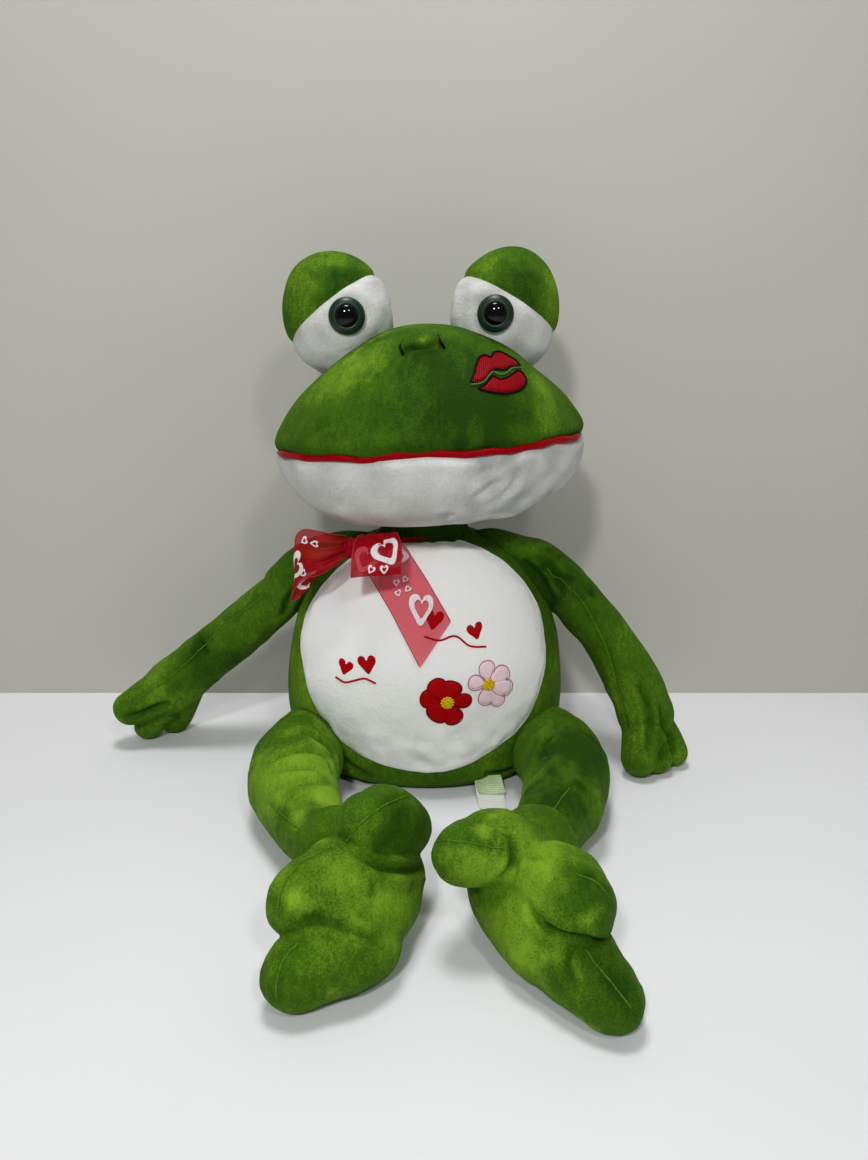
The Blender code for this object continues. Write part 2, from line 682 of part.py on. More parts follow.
def build_head(nod):
    """Covers, mouth strip and stuffing of the head. Returns the mouth's place in the head's own frame."""
    mouth = Matrix.Translation((HEAD_SIDE_SHIFT, -NECK_SET_BACK, MOUTH_ABOVE_NECK))
    mouth = mouth @ Matrix.Rotation(math.radians(HEAD_ROLL_DEG), 4, "Y")
    reach, edge, seam_y = HEAD_WIDTH, PIECE_GAP / 2, HEAD_SIDE_SEAM_Y
    strip_edge, strip_back = MOUTH_STRIP_HEIGHT / 2, MOUTH_STRIP_BACK_Y
    slot_edge, slot_back = strip_edge + PIECE_GAP, strip_back + PIECE_GAP

    def cutter(mesh):
        return add_cutter(mesh, nod, mouth)

    inner = cutter(head_mesh(PLUSH_THICKNESS))
    slot = cutter(box_mesh((-reach, -reach, -slot_edge), (reach, slot_back, slot_edge)))
    all_round = NECK_RADIUS / math.cos(math.pi / BALL_SIDES)
    neck_seat = add_cutter(socket_mesh(all_round, LEG_AXIS), nod)
    covers = {
        "snout_cover": ("green_plush", (-reach, -reach, edge), (reach, seam_y - edge, reach)),
        "jaw_cover": ("white_plush", (-reach, -reach, -reach), (reach, seam_y - edge, -edge)),
        "head_back_cover": ("green_plush", (-reach, seam_y + edge, -reach), (reach, reach, reach)),
    }
    for name, (finish, low, high) in covers.items():
        cover = add_object(name, head_mesh(), finish, nod, mouth)
        boolean(cover, cutter(box_mesh(low, high)), "INTERSECT")
        for other in (inner, slot, neck_seat):
            boolean(cover, other, "DIFFERENCE")

    strip = add_object("mouth_strip", head_mesh(-MOUTH_STRIP_PROUD), "red_satin", nod, mouth)
    strip_box = box_mesh((-reach, -reach, -strip_edge), (reach, strip_back, strip_edge))
    boolean(strip, cutter(strip_box), "INTERSECT")
    boolean(strip, inner, "DIFFERENCE")

    filling = add_object("head_filling", head_mesh(PLUSH_THICKNESS + PIECE_GAP), "fibre_filling", nod, mouth)
    boolean(filling, neck_seat, "DIFFERENCE")
    return mouth


# Eye bulbs and safety eyes

def eye_bulb_mesh(inset=0.0):
    sides = EYE_LINING_SIDES if inset > 0 else EYE_BULB_SIDES
    rings = []
    for height, wide in EYE_BULB_SHARES:
        centre = Vector((0, 0, EYE_BULB_HEIGHT / 2 * height))
        depth = EYE_BULB_DEPTH / 2 * wide
        rings.append(oval_ring(centre, EYE_BULB_WIDTH / 2 * wide, depth, depth, sides))
    pole = Vector((0, 0, EYE_BULB_HEIGHT / 2))
    return stack_rings(rings, -pole, pole, inset)


def iris_mesh():
    """A domed disc with a dish for the pupil, about an axis that looks along +Z."""
    radius, dish = SAFETY_EYE_DIAMETER / 2, PUPIL_DIAMETER / 2 + PIECE_GAP
    top, rim = SAFETY_EYE_HEIGHT, SAFETY_EYE_RIM
    shoulder = ((radius + dish) / 2, (top + rim) / 2 + PIECE_GAP)
    floor = top - PUPIL_DEPTH
    return turned_mesh([(0, -SAFETY_EYE_HEIGHT), (radius, -SAFETY_EYE_HEIGHT), (radius, rim), shoulder,
                        (dish, top), (dish, floor), (0, floor)], EYE_TURNED_SIDES)


def pupil_mesh():
    """A black dome that seats in the iris."""
    radius, top = PUPIL_DIAMETER / 2, SAFETY_EYE_HEIGHT
    low = top - PUPIL_DEPTH + PIECE_GAP
    angles = [math.radians(angle) for angle in PUPIL_DOME_ANGLES_DEG]
    dome = [(radius * math.cos(a), top + PUPIL_RISE * math.sin(a)) for a in angles]
    return turned_mesh([(0, low), (radius, low), *dome, (0, top + PUPIL_RISE)], EYE_TURNED_SIDES)


def build_eye(side, sign, nod, mouth):
    """One eye bulb with its lid, stuffing, safety eye and washer."""
    place = mouth @ Matrix.Translation((sign * EYE_BULB_SPREAD, EYE_BULB_SET_BACK, EYE_BULB_RISES[side]))
    bulb = place @ Matrix.Rotation(math.radians(sign * EYE_BULB_SPLAY_DEG), 4, "Y")
    head_cut = add_cutter(head_mesh(-PIECE_GAP), nod, mouth)
    inner = add_cutter(eye_bulb_mesh(PLUSH_THICKNESS), nod, bulb)

    lid_plane = place @ Matrix.Rotation(math.radians(sign * EYELID_TILT_DEG), 4, "Y")
    lid_plane = lid_plane @ Matrix.Rotation(math.radians(-EYELID_LEAN_DEG), 4, "X")
    lid_plane = lid_plane @ Matrix.Translation((0, 0, EYELID_ABOVE_MIDDLE))
    reach, edge = EYE_BULB_HEIGHT, PIECE_GAP / 2
    above = add_cutter(box_mesh((-reach, -reach, edge), (reach, reach, reach)), nod, lid_plane)
    below = add_cutter(box_mesh((-reach, -reach, -reach), (reach, reach, -edge)), nod, lid_plane)

    front = Vector((-sign * SAFETY_EYE_INWARD, 0, -SAFETY_EYE_DOWN))
    half = Vector((EYE_BULB_WIDTH / 2, EYE_BULB_DEPTH / 2, EYE_BULB_HEIGHT / 2))
    front.y = -half.y * math.sqrt(1 - (front.x / half.x) ** 2 - (front.z / half.z) ** 2)
    eye = place @ Matrix.Translation(front)
    eye = eye @ Matrix.Rotation(math.radians(-sign * SAFETY_EYE_TURN_DEG), 4, "Z")
    eye = eye @ Matrix.Rotation(math.radians(90), 4, "X")
    shank, bore = EYE_SHANK_DIAMETER / 2, EYE_SHANK_DIAMETER / 2 + PIECE_GAP
    hole_profile = rod_profile(bore, -EYE_SHANK_LENGTH - PIECE_GAP, CUT_OVERRUN)
    shank_hole = add_cutter(turned_mesh(hole_profile, EYE_TURNED_SIDES), nod, eye)

    for name, finish, region in (("eye_white", "white_plush", below), ("eyelid", "green_plush", above)):
        cover = add_object(f"{name}_{side}", eye_bulb_mesh(), finish, nod, bulb)
        boolean(cover, region, "INTERSECT")
        for other in (inner, head_cut, shank_hole):
            boolean(cover, other, "DIFFERENCE")

    washer_front = -PLUSH_THICKNESS - EYE_WASHER_BACK_OFF
    washer_back = washer_front - EYE_WASHER_THICKNESS
    washer_radius = EYE_WASHER_DIAMETER / 2
    washer = ring_mesh(bore, washer_radius, washer_back, washer_front, EYE_TURNED_SIDES)
    add_object(f"eye_washer_{side}", washer, "washer_plastic", nod, eye)
    pocket_profile = rod_profile(washer_radius + PIECE_GAP, washer_back - PIECE_GAP, CUT_OVERRUN)
    pocket = add_cutter(turned_mesh(pocket_profile, EYE_TURNED_SIDES), nod, eye)
    filling_mesh = eye_bulb_mesh(PLUSH_THICKNESS + PIECE_GAP)
    filling = add_object(f"eye_filling_{side}", filling_mesh, "fibre_filling", nod, bulb)
    for other in (head_cut, shank_hole, pocket):
        boolean(filling, other, "DIFFERENCE")

    iris = add_object(f"iris_{side}", iris_mesh(), "iris_plastic", nod, eye)
    boolean(iris, add_cutter(eye_bulb_mesh(-PIECE_GAP), nod, bulb), "DIFFERENCE")
    rod = turned_mesh(rod_profile(shank, -EYE_SHANK_LENGTH, PIECE_GAP), EYE_TURNED_SIDES)
    boolean(iris, add_cutter(rod, nod, eye), "UNION")
    add_object(f"pupil_{side}", pupil_mesh(), "pupil_plastic", nod, eye)


# Arms

def arm_solid(make, side, inset):
    """An arm with its fingers and the ball at its shoulder, moved inwards by inset and clear of the torso."""
    points = scaled(RIGHT_ARM_SHARES if side == "right" else LEFT_ARM_SHARES, ARM_LENGTH)
    fingers = RIGHT_FINGER_SHARES if side == "right" else LEFT_FINGER_SHARES
    shoulder, axis = SHOULDERS[side], ARM_AXES[side]
    floor = -shoulder.z
    arm = make(tube_mesh(points, [ARM_RADIUS * share for share in ARM_RADIUS_SHARES], LIMB_SIDES, inset))
    joint = arm.parent
    for lift in (0.0, SHOULDER_LIFT_DEG):
        turn = Matrix.Translation(-shoulder) @ turn_about(shoulder, axis, -lift)
        boolean(arm, add_cutter(torso_mesh(-PIECE_GAP - inset), joint, turn), "DIFFERENCE")
    boolean(arm, add_cutter(ball_mesh(SHOULDER_RADIUS, axis, inset), joint), "UNION")
    radii = [FINGER_RADIUS] * 2
    for shares in fingers:
        line = rest_on_table(scaled(shares, ARM_LENGTH), radii, floor)
        finger = tube_mesh(line, radii, FINGER_SIDES, inset, PLAIN_DOME_ANGLES_DEG)
        boolean(arm, add_cutter(finger, joint), "UNION")
    return arm


def build_arm(side):
    joint = add_joint(f"shoulder_{side}", SHOULDERS[side])
    cover = arm_solid(maker(f"arm_cover_{side}", "green_plush", joint), side, 0.0)
    boolean(cover, arm_solid(cutter_maker(joint), side, PLUSH_THICKNESS), "DIFFERENCE")
    cut_at_table(cover, -SHOULDERS[side].z)
    cut_opening(cover, Vector((-SHOULDERS[side].x, 0, 0)), SHOULDER_RADIUS)
    arm_solid(maker(f"arm_filling_{side}", "fibre_filling", joint), side, PLUSH_THICKNESS + PIECE_GAP)


# Legs and feet

def leg_solid(make, side, inset):
    """A leg with the balls at its hip and ankle, moved inwards by inset and clear of the torso."""
    hip = HIPS[side]
    radii = [LEG_RADIUS * share for share in LEG_RADIUS_SHARES]
    points = rest_on_table(scaled(LEG_SHARES[side], LEG_LENGTH), radii, -hip.z)
    leg = make(tube_mesh(points, radii, LIMB_SIDES, inset))
    joint = leg.parent
    for lift in (0.0, HIP_LIFT_DEG):
        turn = Matrix.Translation(-hip) @ turn_about(hip, LEG_AXIS, -lift)
        boolean(leg, add_cutter(torso_mesh(-PIECE_GAP - inset), joint, turn), "DIFFERENCE")
    boolean(leg, add_cutter(ball_mesh(HIP_RADIUS, LEG_AXIS, inset), joint), "UNION")
    ankle = Matrix.Translation(ANKLES[side] - hip)
    boolean(leg, add_cutter(ball_mesh(ANKLE_RADIUS, LEG_AXIS, inset), joint, ankle), "UNION")
    return leg


def foot_solid(make, side, inset):
    """A foot with its pad and three toes, moved inwards by inset."""
    right = side == "right"
    floor = -ANKLES[side].z
    radii = [FOOT_PAD_RADIUS * share for share in FOOT_PAD_TAPER_SHARES]
    line = rest_on_table(scaled(RIGHT_PAD_SHARES if right else LEFT_PAD_SHARES, FOOT_LENGTH), radii, floor)
    foot = make(tube_mesh(line, radii, LIMB_SIDES, inset))
    for shares, size in zip(RIGHT_TOE_SHARES if right else LEFT_TOE_SHARES, TOE_SIZE_SHARES):
        radii = [TOE_RADIUS * size * taper for taper in TOE_TAPER_SHARES]
        line = rest_on_table(scaled(shares, FOOT_LENGTH), radii, floor)
        boolean(foot, add_cutter(tube_mesh(line, radii, TOE_SIDES, inset), foot.parent), "UNION")
    return foot


def cut_heel(foot, side):
    """Clears a foot's heel for the ball at the end of the leg."""
    before, last = scaled(LEG_SHARES[side], LEG_LENGTH)[-2:]
    reach = FOOT_LENGTH
    heel_end = box_mesh((-reach, -reach, -reach), (reach, reach, HEEL_CUT_FORWARD))
    boolean(foot, add_cutter(heel_end, foot.parent, align_z(last - before)), "DIFFERENCE")
    boolean(foot, add_cutter(socket_mesh(ANKLE_RADIUS, LEG_AXIS), foot.parent), "DIFFERENCE")


def build_leg(side):
    hip = add_joint(f"hip_{side}", HIPS[side])
    filling_inset = PLUSH_THICKNESS + PIECE_GAP
    cover = leg_solid(maker(f"leg_cover_{side}", "green_plush", hip), side, 0.0)
    boolean(cover, leg_solid(cutter_maker(hip), side, PLUSH_THICKNESS), "DIFFERENCE")
    cut_at_table(cover, -HIPS[side].z)
    cut_opening(cover, Vector((-HIPS[side].x, -HIPS[side].y, 0)), HIP_RADIUS)
    leg_solid(maker(f"leg_filling_{side}", "fibre_filling", hip), side, filling_inset)

    ankle = add_joint(f"ankle_{side}", ANKLES[side] - HIPS[side], hip)
    foot = foot_solid(maker(f"foot_cover_{side}", "green_plush", ankle), side, 0.0)
    boolean(foot, foot_solid(cutter_maker(ankle), side, PLUSH_THICKNESS), "DIFFERENCE")
    cut_at_table(foot, -ANKLES[side].z)
    filling = foot_solid(maker(f"foot_filling_{side}", "fibre_filling", ankle), side, filling_inset)
    cut_heel(foot, side)
    cut_heel(filling, side)


# Appliqués

def turned_outline(shares, size, centre, degrees):
    """An outline given as shares of a size, turned and placed in the front view."""
    turn = math.radians(degrees)
    points = []
    for x, z in shares:
        across = x * math.cos(turn) - z * math.sin(turn)
        up = x * math.sin(turn) + z * math.cos(turn)
        points.append((centre[0] + across * size, centre[1] + up * size))
    return points


def flower_outline(radius, centre):
    points = []
    count = FLOWER_PETALS * FLOWER_POINTS_PER_PETAL
    for k in range(count):
        bulge = math.sqrt(abs(math.sin(math.pi * k / FLOWER_POINTS_PER_PETAL)))
        reach = radius * (FLOWER_PETAL_NOTCH_SHARE + (1 - FLOWER_PETAL_NOTCH_SHARE) * bulge)
        angle = math.tau * k / count
        points.append((centre[0] + reach * math.cos(angle), centre[1] + reach * math.sin(angle)))
    return points


def round_outline(radius, centre, sides):
    turns = (math.tau * k / sides for k in range(sides))
    return [(centre[0] + radius * math.cos(a), centre[1] + radius * math.sin(a)) for a in turns]


def build_applique(name, finish, skin, outline, depth, parent=None, matrix=None):
    """A thin patch with the given outline that lies on a skin."""
    patch = add_object(name, skin(-PIECE_GAP - APPLIQUE_THICKNESS), finish, parent, matrix)
    boolean(patch, add_cutter(prism_mesh(outline, -depth, 0), parent, matrix), "INTERSECT")
    boolean(patch, add_cutter(skin(-PIECE_GAP), parent, matrix), "DIFFERENCE")
    return patch


def build_flower(name, finish, radius, centre, under=None):
    """A flower's petals and its centre, cut back where another flower lies over it."""
    petals = build_applique(f"{name}_petals", finish, torso_mesh, flower_outline(radius, centre), TORSO_DEPTH)
    middle = radius * FLOWER_CENTRE_SHARE
    hole = prism_mesh(round_outline(middle + PIECE_GAP, centre, FLOWER_CENTRE_SIDES), -TORSO_DEPTH, 0)
    boolean(petals, add_cutter(hole), "DIFFERENCE")
    if under is not None:
        boolean(petals, add_cutter(prism_mesh(under, -TORSO_DEPTH, 0)), "DIFFERENCE")
    outline = round_outline(middle, centre, FLOWER_CENTRE_SIDES)
    build_applique(f"{name}_centre", "yellow_thread", torso_mesh, outline, TORSO_DEPTH)


def build_kiss(nod, mouth):
    for name, shares in (("kiss_upper_lip", UPPER_LIP_SHARES), ("kiss_lower_lip", LOWER_LIP_SHARES)):
        outline = turned_outline(shares, KISS_WIDTH, (KISS_X, KISS_RISE), KISS_TURN_DEG)
        build_applique(name, "red_thread", head_mesh, outline, HEAD_WIDTH, nod, mouth)


# Ribbon and labels

def band_mesh(grow, overrun=0.0):
    """What the ribbon's band goes round, from behind the neck up to the knot, with the band's height."""
    half_height = RIBBON_BAND_HEIGHT / 2
    height, width, front, back = torso_shares_at(RIBBON_BAND_Z - half_height)
    middle = Vector((0, TORSO_LEAN * height, 0))
    half_width, half_depth = TORSO_WIDTH / 2 * width, TORSO_DEPTH / 2
    reaches = (half_width + grow, half_depth * front + grow, half_depth * back + grow)
    points = oval_ring(middle, *reaches, TORSO_SIDES)
    knot = Vector((KNOT_X, KNOT_Y + KNOT_DEPTH / 4, 0))
    points += oval_ring(knot, grow, grow, grow, LINING_SIDES)
    knot -= middle
    toward = knot.normalized()
    slope = (KNOT_Z - RIBBON_BAND_Z) / (knot.length + half_width)
    bm = bmesh.new()
    rows = []
    for edge in (-half_height - overrun, half_height + overrun):
        lift = RIBBON_BAND_Z + edge
        rows.append([])
        for point in hull_outline(points):
            rise = slope * ((point - middle).dot(toward) + half_width)
            rows[-1].append(bm.verts.new(point + Vector((0, 0, lift + rise))))
    lower, upper = rows
    bm.faces.new(lower)
    bm.faces.new(list(reversed(upper)))
    for k in range(len(lower)):
        after = (k + 1) % len(lower)
        bm.faces.new((lower[k], lower[after], upper[after], upper[k]))
    return mesh_from(bm)


def build_ribbon_band():
    """The part of the ribbon that goes round the foot of the neck and into the knot."""
    band = add_object("ribbon_band", band_mesh(PIECE_GAP + RIBBON_THICKNESS), "red_organza")
    for cutter in (band_mesh(PIECE_GAP, CUT_OVERRUN), torso_mesh(-PIECE_GAP), knot_mesh(PIECE_GAP)):
        boolean(band, add_cutter(cutter), "DIFFERENCE")


def build_ribbon_loop(name, start, tip, toward):
    """A loop of ribbon that goes out from the knot and folds back behind itself."""
    along = tip - start
    across = along.cross(toward).normalized()
    points, widths = [], []
    for share, lift, width in RIBBON_LOOP_SHARES:
        points.append(start + along * share + toward.normalized() * RIBBON_LOOP_DEPTH * lift)
        widths.append(RIBBON_WIDTH * width)
    strip = strip_mesh(points, [across] * len(points), widths, RIBBON_THICKNESS)
    loop = add_object(name, strip, "red_organza")
    boolean(loop, add_cutter(knot_mesh(PIECE_GAP)), "DIFFERENCE")


def build_ribbon_tail():
    """The end of the ribbon, which hangs from the back of the knot and lies on the belly."""
    last_x, last_z, _ = RIBBON_TAIL_SHARES[-1]
    end_x, end_z = KNOT_X + RIBBON_TAIL_ACROSS * last_x, KNOT_Z - RIBBON_TAIL_DROP * last_z
    start_y, end_y = KNOT_Y + KNOT_DEPTH / 3, torso_front_y(end_x, end_z) - RIBBON_TAIL_CLEAR
    points, widths = [], []
    for x_share, z_share, width in RIBBON_TAIL_SHARES:
        y = start_y + (end_y - start_y) * z_share ** 2
        points.append(Vector((KNOT_X + RIBBON_TAIL_ACROSS * x_share, y, KNOT_Z - RIBBON_TAIL_DROP * z_share)))
        widths.append(RIBBON_WIDTH * width)
    across = Vector((RIBBON_TAIL_DROP, 0, RIBBON_TAIL_ACROSS))
    strip = strip_mesh(points, [across] * len(points), widths, RIBBON_THICKNESS)
    tail = add_object("ribbon_tail", strip, "red_organza")
    band = band_mesh(PIECE_GAP * 2 + RIBBON_THICKNESS, PIECE_GAP)
    for cutter in (torso_mesh(-PIECE_GAP), knot_mesh(PIECE_GAP), band):
        boolean(tail, add_cutter(cutter), "DIFFERENCE")


def knot_mesh(grow=0.0):
    half = Vector((KNOT_WIDTH, KNOT_DEPTH, KNOT_HEIGHT)) / 2 + Vector((grow, grow, grow))
    place = Matrix.Translation(KNOT_POINT) @ Matrix.Diagonal((*half, 1.0))
    return turned_mesh(ball_profile(1.0, LINING_SIDES), BALL_SIDES, place)


def build_ribbon_bow():
    add_object("ribbon_knot", knot_mesh(), "red_organza")
    edge = Vector((KNOT_WIDTH / 2, 0, 0))
    side_tip = Vector((SIDE_LOOP_TIP_X, SIDE_LOOP_TIP_Y, SIDE_LOOP_TIP_Z))
    front_tip = Vector((FRONT_LOOP_TIP_X, FRONT_LOOP_TIP_Y, FRONT_LOOP_TIP_Z))
    build_ribbon_loop("ribbon_side_loop", KNOT_POINT - edge, side_tip, Vector((0, -1, 0)))
    build_ribbon_loop("ribbon_front_loop", KNOT_POINT + edge, front_tip, Vector((0, -1, 0)))
    build_ribbon_tail()


def build_labels():
    """Two labels caught in the seam at the crotch, one over the other."""
    labels = (("care_label", CARE_LABEL_LENGTH, 0.0), ("maker_label", MAKER_LABEL_LENGTH, LABEL_STEP))
    across = Vector((1, 0, 0))
    for name, length, lift in labels:
        points = []
        for k in range(4):
            out = length * k / 3
            height = LABEL_THICKNESS + LABEL_HEIGHT * (1 - out / CARE_LABEL_LENGTH) ** 2 + lift
            points.append(Vector((LABEL_X, -LABEL_SEAM_DEPTH - out, height)))
        count = len(points)
        strip = strip_mesh(points, [across] * count, [LABEL_WIDTH] * count, LABEL_THICKNESS)
        label = add_object(name, strip, "label_tape")
        boolean(label, add_cutter(torso_mesh(-PIECE_GAP)), "DIFFERENCE")


def main():
    clear_scene()
    build_torso()
    turn_joint = add_joint("neck_turn", NECK_POINT)
    add_object("neck_stuffing", ball_mesh(NECK_RADIUS, TURN_AXIS), "green_plush", turn_joint)
    nod = add_joint("head_nod", (0, 0, 0), turn_joint)
    mouth = build_head(nod)
    for side, sign in SIDES.items():
        build_eye(side, sign, nod, mouth)
        build_arm(side)
        build_leg(side)
    build_kiss(nod, mouth)
    red_centre, pink_centre = (RED_FLOWER_X, RED_FLOWER_Z), (PINK_FLOWER_X, PINK_FLOWER_Z)
    build_flower("red_flower", "red_thread", RED_FLOWER_RADIUS, red_centre)
    over = flower_outline(RED_FLOWER_RADIUS + PIECE_GAP, red_centre)
    build_flower("pink_flower", "pink_thread", PINK_FLOWER_RADIUS, pink_centre, over)
    build_ribbon_band()
    build_ribbon_bow()
    build_labels()


main()
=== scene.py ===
"""A plush frog with stuffed limbs, a bow of sheer ribbon and safety eyes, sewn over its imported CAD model.

Each cover is made as one skin, pressed in along its seams and folds, and then cut into the panels it is
sewn from. All places are in metres in the frame of the CAD model. Left and right are the frog's own.
"""

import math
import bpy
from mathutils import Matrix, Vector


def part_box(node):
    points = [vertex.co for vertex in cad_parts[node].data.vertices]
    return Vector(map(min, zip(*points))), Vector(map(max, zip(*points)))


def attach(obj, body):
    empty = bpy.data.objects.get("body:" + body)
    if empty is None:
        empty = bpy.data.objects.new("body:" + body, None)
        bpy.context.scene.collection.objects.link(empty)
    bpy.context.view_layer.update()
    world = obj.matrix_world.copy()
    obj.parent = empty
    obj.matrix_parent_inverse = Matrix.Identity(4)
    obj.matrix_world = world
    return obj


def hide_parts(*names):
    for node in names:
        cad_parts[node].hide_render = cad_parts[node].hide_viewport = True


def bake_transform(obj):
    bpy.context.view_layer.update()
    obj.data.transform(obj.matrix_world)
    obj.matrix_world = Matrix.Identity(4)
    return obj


bl_info = {
    "name": "Plush frog",
    "version": (1, 0, 0),
    "blender": (4, 5, 0),
    "location": "3D View > Sidebar > Plush frog",
    "description": "Sews a seated plush frog piece by piece over its CAD frame",
    "category": "Object",
}

import bpy
import numpy as np
from mathutils import Matrix, Vector, geometry
from mathutils.bvhtree import BVHTree

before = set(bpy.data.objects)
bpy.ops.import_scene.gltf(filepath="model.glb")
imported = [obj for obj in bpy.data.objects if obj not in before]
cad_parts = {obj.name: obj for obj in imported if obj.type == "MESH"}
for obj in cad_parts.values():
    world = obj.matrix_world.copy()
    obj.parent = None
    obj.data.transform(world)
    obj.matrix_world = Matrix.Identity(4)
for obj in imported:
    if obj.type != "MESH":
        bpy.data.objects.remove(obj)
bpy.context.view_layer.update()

SIDES = {"right": -1, "left": 1}

# The photograph's frame, and the eye that took it
PHOTO_WIDE, PHOTO_HIGH = 868, 1160
FOCAL_PIXELS = 871.0
SENSOR_MM = 36.0
EYE_PLACE = Vector((0.008, -0.716, 0.353))
EYE_PITCH_DEG = 15.0

FLOOR_CLEAR = 0.0004

# Torso: share of the height, then width, front and back shares of the half sizes
TORSO_HEIGHT, TORSO_LEAN, SIDE_SEAM_Y = 0.208, 0.012, 0.024
TORSO_HALF = (0.119, 0.094, 0.094)
TORSO_STATIONS = (
    (0.0, 0.30, 0.30, 0.30), (0.001, 0.58, 0.55, 0.60), (0.006, 0.745, 0.69, 0.78), (0.06, 0.90, 0.83, 0.88),
    (0.20, 0.99, 0.94, 0.95), (0.425, 0.995, 1.0, 0.93), (0.615, 0.92, 0.95, 0.83), (0.755, 0.83, 0.84, 0.72),
    (0.85, 0.71, 0.72, 0.62), (0.925, 0.54, 0.56, 0.48), (0.976, 0.32, 0.33, 0.30),
)
BELLY_HALF_WIDTH, BELLY_HALF_HEIGHT, BELLY_CENTRE_Z = 0.1035, 0.0918, 0.1135

# Head, about the middle of its mouth: height, then width, front and back shares of the half sizes
MOUTH_PLACE = Matrix.Translation((0.004, 0.0, 0.279)) @ Matrix.Rotation(math.radians(-3.4), 4, "Y")
HEAD_HALF = (0.125, 0.105, 0.093)
HEAD_DOME, HEAD_JAW, HEAD_SEAM_Y = 0.092, 0.066, 0.030
HEAD_STATIONS = (
    (-0.0627, 0.40, 0.42, 0.42), (-0.0548, 0.68, 0.70, 0.65), (-0.0396, 0.875, 0.89, 0.82),
    (-0.0198, 0.975, 0.98, 0.93), (-0.0033, 0.995, 0.995, 0.98), (0.0046, 0.995, 1.0, 1.0),
    (0.0221, 0.925, 0.96, 0.97), (0.0414, 0.80, 0.88, 0.91), (0.0598, 0.64, 0.74, 0.82),
    (0.0754, 0.46, 0.55, 0.66), (0.0865, 0.26, 0.31, 0.42),
)
MOUTH_STRIP_BACK_Y, MOUTH_WAVE = -0.022, 0.0008

# Eye bulbs: share of the half height, then share of the half width and depth
BULB_HALF = (0.0435, 0.037, 0.050)
BULB_STATIONS = ((-0.72, 0.68), (-0.30, 0.96), (0.08, 1.0), (0.42, 0.90), (0.72, 0.66), (0.92, 0.36))
BULB_SPREAD, BULB_SET_BACK, BULB_SPLAY_DEG = 0.067, 0.012, 17.0
BULB_RISES = {"right": 0.102, "left": 0.097}
LID_TILT_DEG, LID_LEAN_DEG, LID_RISE = 34.0, 9.0, 0.005

# Limbs: points as shares of a length, from their root
SHOULDERS = {side: Vector((sign * 0.088, 0.014, 0.168)) for side, sign in SIDES.items()}
ARM_LENGTH, ARM_RADIUS, FINGER_RADIUS = 0.245, 0.022, 0.013
# The palm runs into the first finger, the other two lie beside it
PALM_RADIUS_SHARES, FINGER_RADIUS_SHARES = (1.85, 1.75, 1.22), (1.0, 1.08, 1.04)
# The line from beside the neck to the top of the arm, for the side where x grows
SHOULDER_YOKE = ((0.030, 0.010, 0.184), (0.066, 0.013, 0.178), (0.098, 0.013, 0.167), (0.118, 0.012, 0.152))
YOKE_RADII = (0.018, 0.0235, 0.0245, 0.0235)
ARM_RADIUS_SHARES = (1.12, 1.0, 1.02, 1.06, 1.10)
ARM_POINTS = {
    "right": ((-0.02, 0, -0.01), (-0.13, 0.012, -0.085), (-0.305, 0.028, -0.235), (-0.46, 0.037, -0.36),
              (-0.59, 0.045, -0.47)),
    "left": ((0.02, 0, -0.01), (0.165, -0.010, -0.105), (0.285, -0.050, -0.245), (0.365, -0.105, -0.375),
             (0.415, -0.150, -0.490)),
}
FINGER_POINTS = {
    "right": (((-0.60, 0.010, -0.47), (-0.725, 0.010, -0.535)),
              ((-0.58, 0.060, -0.50), (-0.690, 0.075, -0.640)),
              ((-0.54, 0.110, -0.50), (-0.610, 0.135, -0.640))),
    "left": (((0.40, -0.185, -0.49), (0.39, -0.235, -0.615)), ((0.43, -0.165, -0.52), (0.45, -0.21, -0.64)),
             ((0.45, -0.115, -0.50), (0.525, -0.15, -0.64))),
}
HIPS = {side: Vector((sign * 0.090, -0.040, 0.034)) for side, sign in SIDES.items()}
LEG_LENGTH, LEG_RADIUS = 0.180, 0.0345
LEG_RADIUS_SHARES = (0.90, 0.97, 1.0, 0.86, 0.66)
LEG_POINTS = {
    "right": ((0, 0, 0), (-0.036, -0.133, 0), (-0.058, -0.361, 0), (0.017, -0.639, 0), (0.133, -0.878, 0)),
    "left": ((0, 0, 0), (0.072, -0.1, 0), (0.111, -0.289, 0), (0.061, -0.589, 0), (-0.044, -0.867, 0)),
}
ANKLES = {side: HIPS[side] + Vector(LEG_POINTS[side][-1]) * LEG_LENGTH for side in SIDES}
FOOT_LENGTH, PAD_RADIUS, TOE_RADIUS = 0.130, 0.031, 0.0245
PAD_RADIUS_SHARES = (0.96, 1.0, 0.98, 0.90)
TOE_SIZE_SHARES = {"right": (0.90, 1.15, 1.03), "left": (0.98, 1.0, 0.97)}
